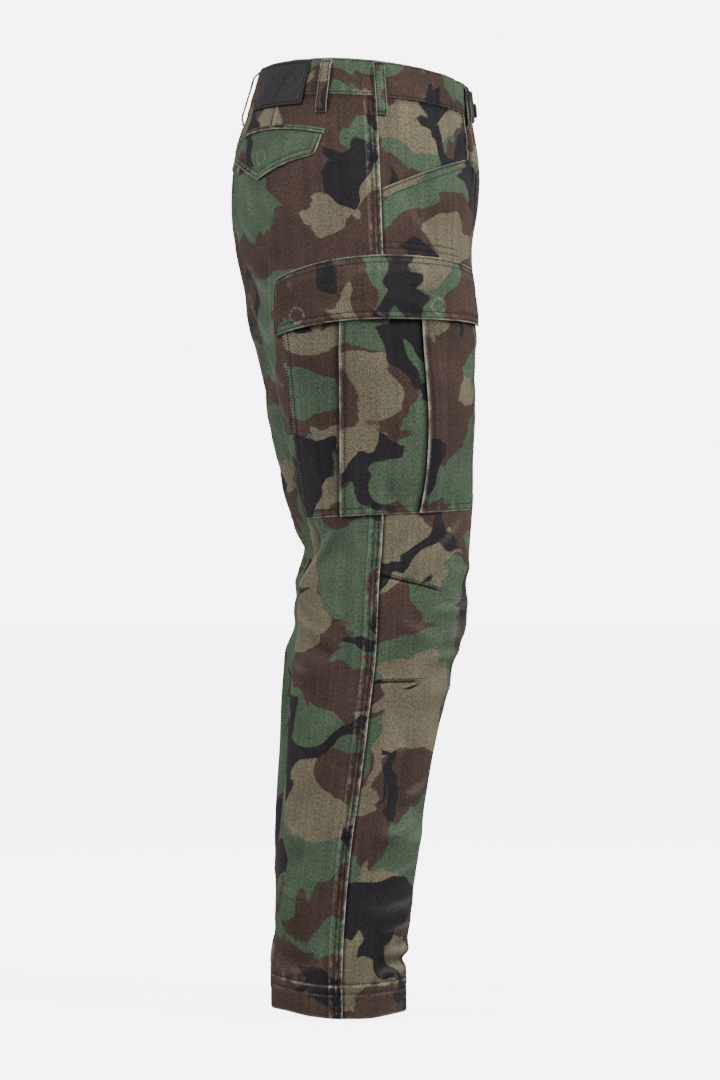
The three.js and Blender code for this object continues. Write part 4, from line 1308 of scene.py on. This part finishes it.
def seat_place(across, drop):
    """Where a place on the flap lies, from its cut: across, and mm below the welt."""
    t = (across - SEAT_MIDDLE) / SEAT_HALF
    lean = SEAT_LEAN + SEAT_FRONT_LEAN * np.maximum(t, 0)
    return seat_line(across) - 0.1 - drop, across - lean * drop


def seat_hang(across):
    t = np.abs(across - SEAT_MIDDLE) / SEAT_HALF
    return SEAT_FLAP_POINT + (SEAT_FLAP_SIDE - SEAT_FLAP_POINT) * t


def seat_flap_height(across, drop):
    slope = (SEAT_FLAP_POINT - SEAT_FLAP_SIDE) / SEAT_HALF
    below = (seat_hang(across) - drop) / math.hypot(1, slope)
    inset = np.minimum(SEAT_HALF - np.abs(across - SEAT_MIDDLE), below)
    level, place = seat_place(across, drop)
    away = np.hypot(place - SEAT_BUTTON[0], level - SEAT_BUTTON[1])
    hanging = SEAT_HANG * smoothstep(drop / SEAT_FLAP_POINT)
    height = SEAT_LIFT + hanging - 0.9 * hump(inset, 0.7) + button_ring(away, 0.5, 0.4)
    height = height - grooves(inset, SEAT_FLAP_ROWS, 0.3)
    return height + puckered(inset - 5, across + drop, 71, rise=0.9), inset, away


def seat_row(across, drop):
    height = seat_flap_height(across, drop)[0]
    return seam_row(*seat_place(across, drop), height + 0.15)


def welt_height(across, up):
    inset = np.minimum(up, WELT_HEIGHT - up)
    return WELT_LIFT - 0.7 * hump(inset, 0.6) + puckered(up, across, 72, rise=0.7)


columns = spaced(SEAT_MIDDLE - SEAT_HALF, SEAT_MIDDLE + SEAT_HALF, COLUMN_STEP, EDGE_STEPS)
drops = np.concatenate([np.linspace(0, 1, 24), [0.93, 0.965, 0.98, 0.99]])
share, across = grid(np.unique(drops), columns)
drop = seat_hang(across) * share
height, inset, away = seat_flap_height(across, drop)
level, place = seat_place(across, drop)
flap_faces = faces(level, place, height, SEAT_CLOTH)
flap_spot = np.stack([across, level], -1)
seat_flap_wear_and_shade = rubbed_edge(inset, across + level, 73, 1.7, 1.0)
seat_flap_wear_and_shade += 0.3 * rubbed_edge(inset - 5, across + level, 74, 1.8)
# The pale ring round the button is wear; the dark line along the flap's top, in the gap below the welt,
# is painted shadow.
seat_flap_wear_and_shade += 0.25 * hump(away - BUTTON_RING, 1.0) - 1.2 * hump(drop, 1.8)
columns = spaced(SEAT_MIDDLE - SEAT_HALF - 2, SEAT_MIDDLE + SEAT_HALF + 2, COLUMN_STEP, FEW_EDGE_STEPS)
up, across = grid(WELT_ROWS, columns)
welt_faces = faces(seat_line(across) + up, across, welt_height(across, up), WELT_CLOTH)
welt_spot = np.stack([across, up], -1)
welt_worn = rubbed_edge(WELT_HEIGHT - up, across, 75, 1.3, 0.3) + rubbed_edge(up, across, 76, 1.6, 1.0)
seat_rows = []
for row in SEAT_FLAP_ROWS:
    row_across = np.linspace(SEAT_MIDDLE - SEAT_HALF + row, SEAT_MIDDLE + SEAT_HALF - row, 240)
    seat_rows.append(seat_row(row_across, seat_hang(row_across) - row * 1.05))
    for end in (row_across[0], row_across[-1]):
        seat_rows.append(seat_row(end, np.linspace(0, seat_hang(end) - row * 1.05, 40)))
row_across = np.linspace(SEAT_MIDDLE - SEAT_HALF, SEAT_MIDDLE + SEAT_HALF, 240)
row_level = seat_line(row_across) + WELT_HEIGHT / 2
seat_rows.append(seam_row(row_level, row_across, welt_height(row_across, WELT_HEIGHT / 2) + 0.15))
for side in SIDES:
    rests_on = [f"back_panel_{side}_cloth"]
    sewn("seat_flap", side, *flap_faces, flap_spot, seat_flap_wear_and_shade, "hung", rests_on, seat_rows)
    sewn("seat_welt", side, *welt_faces, welt_spot, welt_worn, "folded", rests_on, layers=2)

# Waistband
# One strip of twill folded along its top edge and sewn over the panels' raw upper edges. It goes
# once round, and at the front its left end laps over its right one.

BAND_CLOTH = 2.4
BAND_RISE = 0.8
BAND_LIFT = 0.2
BAND_CLIMB = 3.1
BAND_CLIMB_FROM = 0.89
BAND_EDGE_STEPS = (0.3, 0.8, 1.5, 2.4)
BAND_UNDERLAP = 22
BAND_OVERLAP = 14
BAND_ROWS = (WAIST_TOP - 2.4, WAIST_BOTTOM + 2.4)


def half_girth(level):
    return reach(level, FRONT) + reach(level, BACK)


GIRTH = float(half_girth(0.0))


def round_waist(level, around, height):
    """Points round the waist: around is 0 at the centre back and 1 or -1 at the centre front."""
    level, around, height = np.broadcast_arrays(level, around, height)
    far = np.abs(around)
    turned = np.where(far > 1, 2 - far, far)
    way = np.where(around < 0, -1, 1) * np.where(far > 1, -1, 1)
    points = lifted(level, turned * half_girth(level) - reach(level, BACK), height)
    points[..., 0] *= way
    return points


def band_height(level, around):
    climb = BAND_CLIMB * smoothstep((around - BAND_CLIMB_FROM) / 0.07)
    inset = np.minimum(WAIST_TOP - level, level - WAIST_BOTTOM)
    waves = puckered(inset - 4, around * GIRTH, 81, 8.0, 10, 0.9)
    height = BAND_RISE + BAND_LIFT + climb - 0.8 * hump(inset, 0.8)
    height = height - grooves(level, BAND_ROWS) + waves
    return height + 0.3 * np.sin(inset / 20 * math.pi)


band_around = np.linspace(-1 - BAND_UNDERLAP / GIRTH, 1 + BAND_OVERLAP / GIRTH, 400)
band_levels = spaced(WAIST_TOP, WAIST_BOTTOM, 2.0, BAND_EDGE_STEPS)
level, around = grid(band_levels, band_around)
height = band_height(level, around)
outer, inner = faces(level, around, height, BAND_CLOTH, round_waist)
spot = np.stack([around * GIRTH, level], -1)
wear_and_shade = rubbed_edge(WAIST_TOP - level, around * GIRTH, 82, 2.0, 1.0)
wear_and_shade += rubbed_edge(level - WAIST_BOTTOM, around * GIRTH, 83, 1.6, 0.3)
row_around = np.linspace(-0.999, band_around[-1] - 2 / GIRTH, 900)
band_rows = [sewn_row(row, row_around, band_height, 0.15, round_waist) for row in BAND_ROWS]
rests_on = ["back_panel_right_cloth", "back_panel_left_cloth"]
sewn("waistband", None, outer, inner, spot, wear_and_shade, "stretched", rests_on, band_rows)

# Belt loops
# Seven narrow strips of folded twill, sewn down at both ends and standing a little off the
# waistband between them. All but the centre back one end in short dense bars of stitches.

LOOP_HALF = 6
LOOP_CLOTH = 1.4
LOOP_TOP = 22.5
LOOP_BOTTOM = -37.5
LOOP_LIFT = 0.5
LOOP_SLACK = 2.6
LOOP_SEWN = 4.2
LOOP_BAR_HALF = 5.4
LOOP_BARS = (LOOP_TOP - 2.0, LOOP_TOP - 3.2, LOOP_BOTTOM + 2.0, LOOP_BOTTOM + 3.2)
LOOP_COLUMNS = (-6, -5.7, -5.1, -4.2, -3, -1.5, 0, 1.5, 3, 4.2, 5.1, 5.7, 6)
# How far before the side seam each loop is, and how much it leans.
LOOP_PLACES = ((5, -0.03), (-55.5, 0.15), (140, 0))


def loop_height(level, offset, extra=0):
    slack = smoothstep((LOOP_TOP - level) / 9) * smoothstep((level - LOOP_BOTTOM) / 9)
    side_edge = -0.5 * hump(LOOP_HALF - np.abs(offset), 0.5)
    ends = -0.6 * hump(LOOP_TOP - level, 0.7) - 0.6 * hump(level - LOOP_BOTTOM, 0.7)
    pressed = -0.25 * hump(np.abs(offset) - LOOP_SEWN, 0.8)
    bars = -0.4 * hump(LOOP_TOP - 2.6 - level, 1.6) - 0.4 * hump(level - LOOP_BOTTOM - 2.6, 1.6)
    wave = 0.2 * unevenness(level, offset, 8, 91)
    height = BAND_RISE + LOOP_LIFT + (LOOP_SLACK + extra) * slack + LOOP_CLOTH
    return height + side_edge + ends + pressed + bars + wave


def on_side(place, lean):
    """The way onto the cloth for a loop at this distance from the side seam."""
    return lambda level, offset, height: lifted(level, place + offset + lean * level, height)


def at_back(level, offset, height):
    return round_waist(level, offset / half_girth(level), height)


loop_levels = np.linspace(LOOP_TOP - 1.5, LOOP_BOTTOM + 1.5, 34)
loop_ends = [LOOP_TOP, LOOP_TOP - 0.5], [LOOP_BOTTOM + 0.5, LOOP_BOTTOM]
loop_levels = np.concatenate([loop_ends[0], loop_levels, loop_ends[1]])
loop_level, loop_offset = grid(loop_levels, LOOP_COLUMNS)
loop_spot = np.stack([loop_offset, loop_level], -1)
loop_worn = rubbed_edge(LOOP_HALF - np.abs(loop_offset), loop_level, 92, 1.0, 0.8)
loop_worn += 0.35 * rubbed_edge(LOOP_TOP - loop_level, loop_offset, 93, 2.5)


def belt_loop(node, side, on, bars=LOOP_BARS, extra=0):
    def height_of(level, offset):
        return loop_height(level, offset, extra)

    height = height_of(loop_level, loop_offset)
    outer, inner = faces(loop_level, loop_offset, height, LOOP_CLOTH, on)
    row_level = np.linspace(LOOP_TOP - 1, LOOP_BOTTOM + 1, 60)
    rows = [sewn_row(row_level, edge, height_of, 0.15, on) for edge in (-LOOP_SEWN, LOOP_SEWN)]
    bar_offset = np.linspace(-LOOP_BAR_HALF, LOOP_BAR_HALF, 12)
    rows += [sewn_row(bar, bar_offset, height_of, 0.25, on) for bar in bars]
    rests_on = ["waistband_cloth"]
    sewn(node, side, outer, inner, loop_spot, loop_worn, "stretched", rests_on, rows)


for i, (place, lean) in enumerate(LOOP_PLACES):
    for side in SIDES:
        belt_loop(f"belt_loop_{i + 1}", side, on_side(place, lean))
belt_loop("belt_loop_centre", None, at_back, bars=(), extra=1)

# Fly cover
# The left front's folded edge laps over the zip, and two rows of stitches hold the layer under
# it down in the shape of a J.

FLY_WIDTH = 38
FLY_FOOT = 6
FLY_LAP = -3
FLY_CLOTH = 1.1
FLY_RISE = 1.4
FLY_BOTTOM = -192
FLY_CURVE_TOP = -150
FLY_ROWS = (2.5, 9)


def fly_edge(level, inset=0):
    t = np.clip((FLY_CURVE_TOP - level) / (FLY_CURVE_TOP - FLY_BOTTOM - inset), 0, 1)
    return FLY_FOOT + (FLY_WIDTH - FLY_FOOT - inset) * np.sqrt(1 - t * t)


def fly_height(level, from_middle):
    inset = fly_edge(level) - from_middle
    lap = -0.7 * hump(from_middle - FLY_LAP, 0.7)
    height = FLY_RISE - FLY_CLOTH * (1 - smoothstep(inset / 3)) + lap
    return height + puckered(inset - 4, level, 95, 6, 8, 0.7)


def at_front(level, from_middle, height):
    return round_waist(level, 1 - from_middle / half_girth(level), height)


fly_levels = spaced(WAIST_BOTTOM - 1, FLY_BOTTOM, COLUMN_STEP, FEW_EDGE_STEPS)
shares = np.unique(np.concatenate([np.linspace(0, 1, 20), [0.01, 0.03, 0.06, 0.94, 0.97, 0.99]]))
level, share = grid(fly_levels, shares)
from_middle = fly_edge(level) + (FLY_LAP - fly_edge(level)) * share
height = fly_height(level, from_middle)
outer, inner = faces(level, from_middle, height, FLY_CLOTH, at_front)
spot = np.stack([from_middle, level], -1)
wear_and_shade = rubbed_edge(from_middle - FLY_LAP, level, 96, 1.8, 1.0)
rows = []
for inset in FLY_ROWS:
    row_level = np.linspace(WAIST_BOTTOM - 2, FLY_BOTTOM + inset + 0.5, 120)
    rows.append(sewn_row(row_level, fly_edge(row_level, inset), fly_height, 0.15, at_front))
rests_on = ["front_panel_left_cloth", "front_panel_right_cloth"]
sewn("fly_cover", None, outer, inner, spot, wear_and_shade, "stretched", rests_on, rows)

# Waist patch
# A blank piece of black leather sewn to the right back of the waistband. It has a fine grain, a
# soft shine and slightly rounded cut edges.

PATCH_FROM = -78
PATCH_TO = -174
PATCH_LEAN = 0.26
PATCH_TOP = 23
PATCH_BOTTOM = -27
PATCH_LEATHER = 1.6
PATCH_LIFT = 0.5
PATCH_SEAM = 2.9
PATCH_STEP = 1.5
PATCH_EDGE_STEPS = (0.3, 0.8, 1.6, 2.3, 2.9, 3.5)
LEATHER_DARK = (0.009, 0.007, 0.009, 1)
LEATHER_RUBBED = (0.024, 0.020, 0.024, 1)
LEATHER_SCUFFED = (0.09, 0.085, 0.095, 1)
# The paler colour of the leather's painted highlights.
LEATHER_PAINTED_HIGHLIGHT = (0.10, 0.09, 0.10, 1)
PATCH_CREASES = [
    # level, across, to level, to across, width, rise
    (14, -98, -8, -122, 1.6, -0.7),
    (-2, -112, -22, -126, 1.3, -0.65),
    (16, -150, 2, -128, 1.5, -0.6),
    (4, -158, -14, -146, 1.4, 0.6),
    (-8, -92, -16, -108, 1.3, 0.55),
    (18, -120, 6, -140, 1.4, 0.5),
    (-12, -132, -20, -156, 1.5, -0.55),
]


def black_leather(name):
    """Pebbled leather, scratched and unevenly rubbed, with painted highlights and painted shade from its
    wear-and-shade values.
    """
    material, tree = new_material(name)
    where = add_node(tree, "ShaderNodeTexCoord").outputs["Object"]
    kind = {"feature": "DISTANCE_TO_EDGE"}
    cells = add_node(tree, "ShaderNodeTexVoronoi", kind, Vector=where, Scale=900)
    pebbles = math_node(tree, "MINIMUM", cells.outputs["Distance"], 0.25)
    grain = times_plus(tree, noise(tree, where, 130, 4.0, 0.6), 0.5, pebbles)
    rub = noise(tree, where, 45, 3.0)
    stretched = vector_node(tree, "MULTIPLY", where, (1, 0.25, 1))
    scratches = above(tree, noise(tree, stretched, 420, 3.0, 0.8), 0.61, 0.04)
    scratches = math_node(tree, "MULTIPLY", scratches, 0.4)
    leather = mixed(tree, rub, LEATHER_DARK, LEATHER_RUBBED)
    leather = mixed(tree, scratches, leather, LEATHER_SCUFFED)
    wear_and_shade = point_values(tree, "wear_and_shade")
    # Painted shade: values below zero darken the leather.
    pressed = times_plus(tree, math_node(tree, "MINIMUM", wear_and_shade, 0.0), 0.9, 1.0)
    leather = vector_node(tree, "MULTIPLY", leather, math_node(tree, "MAXIMUM", pressed, 0.1))
    # Painted highlight: values above zero mix in a paler colour.
    painted_highlight = math_node(tree, "MULTIPLY", math_node(tree, "MAXIMUM", wear_and_shade, 0.0), 0.5)
    leather = mixed(tree, math_node(tree, "MINIMUM", painted_highlight, 0.6), leather, LEATHER_PAINTED_HIGHLIGHT)
    rough = times_plus(tree, rub, 0.25, 0.36)
    surfaced(tree, leather, rough, grain, 0.8, 0.0008, Specular_IOR_Level=0.38)
    return material


patch_levels = spaced(PATCH_TOP, PATCH_BOTTOM, PATCH_STEP, PATCH_EDGE_STEPS)
level, across = grid(patch_levels, spaced(PATCH_FROM, PATCH_TO, PATCH_STEP, PATCH_EDGE_STEPS))
inset = np.minimum(PATCH_TOP - level, level - PATCH_BOTTOM)
inset = np.minimum(inset, np.minimum(PATCH_FROM - across, across - PATCH_TO))
height = BAND_RISE + PATCH_LIFT + PATCH_LEATHER - 0.7 * hump(inset, 0.7)
height = height + ridges(level, across, PATCH_CREASES)
height = height + 0.4 * unevenness(across, level, 19, 97) - 0.6 * hump(inset - PATCH_SEAM, 0.8)
# Painted highlight along a band just inside the edge; painted shade on the cut edge and in the groove
# near it; on the creases, painted highlights on their ridges and painted shade in their troughs, set 1
# mm to one side.
wear_and_shade = 0.5 * hump(inset - 1.7, 0.6) - 0.8 * hump(inset - PATCH_SEAM, 0.7) - 0.9 * hump(inset, 0.8)
wear_and_shade = wear_and_shade + 0.7 * ridges(level, across + 1, PATCH_CREASES)
outer, inner = faces(level, across + PATCH_LEAN * level, height, PATCH_LEATHER)
spot = np.stack([across, level], -1)
leather = black_leather("black_leather")
name = "waist_patch_leather"
patch = cloth_piece(name, outer, inner, spot, wear_and_shade, "right", "waist_patch", leather)

# Waist button
# A moulded button with a raised rim and a dished middle, sewn to the right end of the waistband.
# The solid has its shape already, so it keeps it and gets its finish here.

BUTTON_DARK = (0.03, 0.024, 0.017, 1)
BUTTON_PALE = (0.09, 0.075, 0.055, 1)
button_stuff, tree = new_material("matt_brown_button")
where = add_node(tree, "ShaderNodeTexCoord").outputs["Object"]
swirl = noise(tree, where, 220, 3.0)
colour = mixed(tree, swirl, BUTTON_DARK, BUTTON_PALE)
surfaced(tree, colour, times_plus(tree, swirl, 0.25, 0.35), swirl, 0.2, 0.0002)
button = bpy.data.objects["waist_button"]
for slot in button.material_slots:
    slot.material = button_stuff

# Camera, light and floor
# The photographed garment stands alone on white. The camera sees its right side from about
# 5.5 m, turned 4 degrees towards its back, level with the middle of the garment.

CAMERA_DISTANCE = 5.5
CAMERA_YAW = math.radians(4)
SENSOR = 36
PHOTO_ROWS = 1080
MM_PER_ROW = 1.129
aim = Vector((0, 0.005, -0.506))
forward = Vector((math.cos(CAMERA_YAW), -math.sin(CAMERA_YAW), 0))
camera_data = bpy.data.cameras.new("camera")
camera_data.sensor_fit = "VERTICAL"
camera_data.sensor_height = SENSOR
camera_data.lens = SENSOR * CAMERA_DISTANCE / (PHOTO_ROWS * MM_PER_ROW * MM)
camera = bpy.data.objects.new("camera", camera_data)
camera.location = aim - forward * CAMERA_DISTANCE
camera.rotation_euler = forward.to_track_quat("-Z", "Y").to_euler()
bpy.context.collection.objects.link(camera)
bpy.context.scene.camera = camera

FLOOR_Z = cad_box[0][2] - 0.004
FLOOR_HALF = 30
DOME_RADIUS = 25
floor_mesh = bpy.data.meshes.new("floor")
corners = [(-FLOOR_HALF, -FLOOR_HALF, 0), (FLOOR_HALF, -FLOOR_HALF, 0)]
corners += [(FLOOR_HALF, FLOOR_HALF, 0), (-FLOOR_HALF, FLOOR_HALF, 0)]
floor_mesh.from_pydata(corners, [], [(0, 1, 2, 3)])
floor = bpy.data.objects.new("floor", floor_mesh)
floor.location.z = FLOOR_Z
dome_mesh = bpy.data.meshes.new("backdrop")
dome_form = bmesh.new()
bmesh.ops.create_uvsphere(dome_form, u_segments=48, v_segments=24, radius=DOME_RADIUS)
dome_form.to_mesh(dome_mesh)
dome_form.free()
dome = bpy.data.objects.new("backdrop", dome_mesh)
for stage, glow in ((floor, 5.4), (dome, 6)):
    bpy.context.collection.objects.link(stage)
    paper = bpy.data.materials.new(f"pale_{stage.name}")
    paper.use_nodes = True
    shader = paper.node_tree.nodes["Principled BSDF"]
    shader.inputs["Base Color"].default_value = (0.86, 0.86, 0.86, 1)
    shader.inputs["Roughness"].default_value = 0.9
    shader.inputs["Emission Color"].default_value = (1, 1, 1, 1)
    shader.inputs["Emission Strength"].default_value = glow
    stage.data.materials.append(paper)
    stage.visible_diffuse = False
    stage.visible_glossy = False
dome.visible_shadow = False

world = bpy.data.worlds.new("studio")
world.use_nodes = True
world.node_tree.nodes["Background"].inputs["Color"].default_value = (1, 1, 1, 1)
world.node_tree.nodes["Background"].inputs["Strength"].default_value = 0.42
bpy.context.scene.world = world
for name, place, size, watts in (
    ("key_light", (-2.2, -2.9, 1.9), 1.1, 150),
    ("back_light", (-1.6, 2.8, 1.6), 1.1, 78),
    ("far_light", (2.6, -0.6, 1.4), 1.6, 50),
):
    lamp = bpy.data.lights.new(name, "AREA")
    lamp.energy = watts
    lamp.size = size
    light = bpy.data.objects.new(name, lamp)
    light.location = place
    light.rotation_euler = (aim - Vector(place)).to_track_quat("-Z", "Y").to_euler()
    bpy.context.collection.objects.link(light)
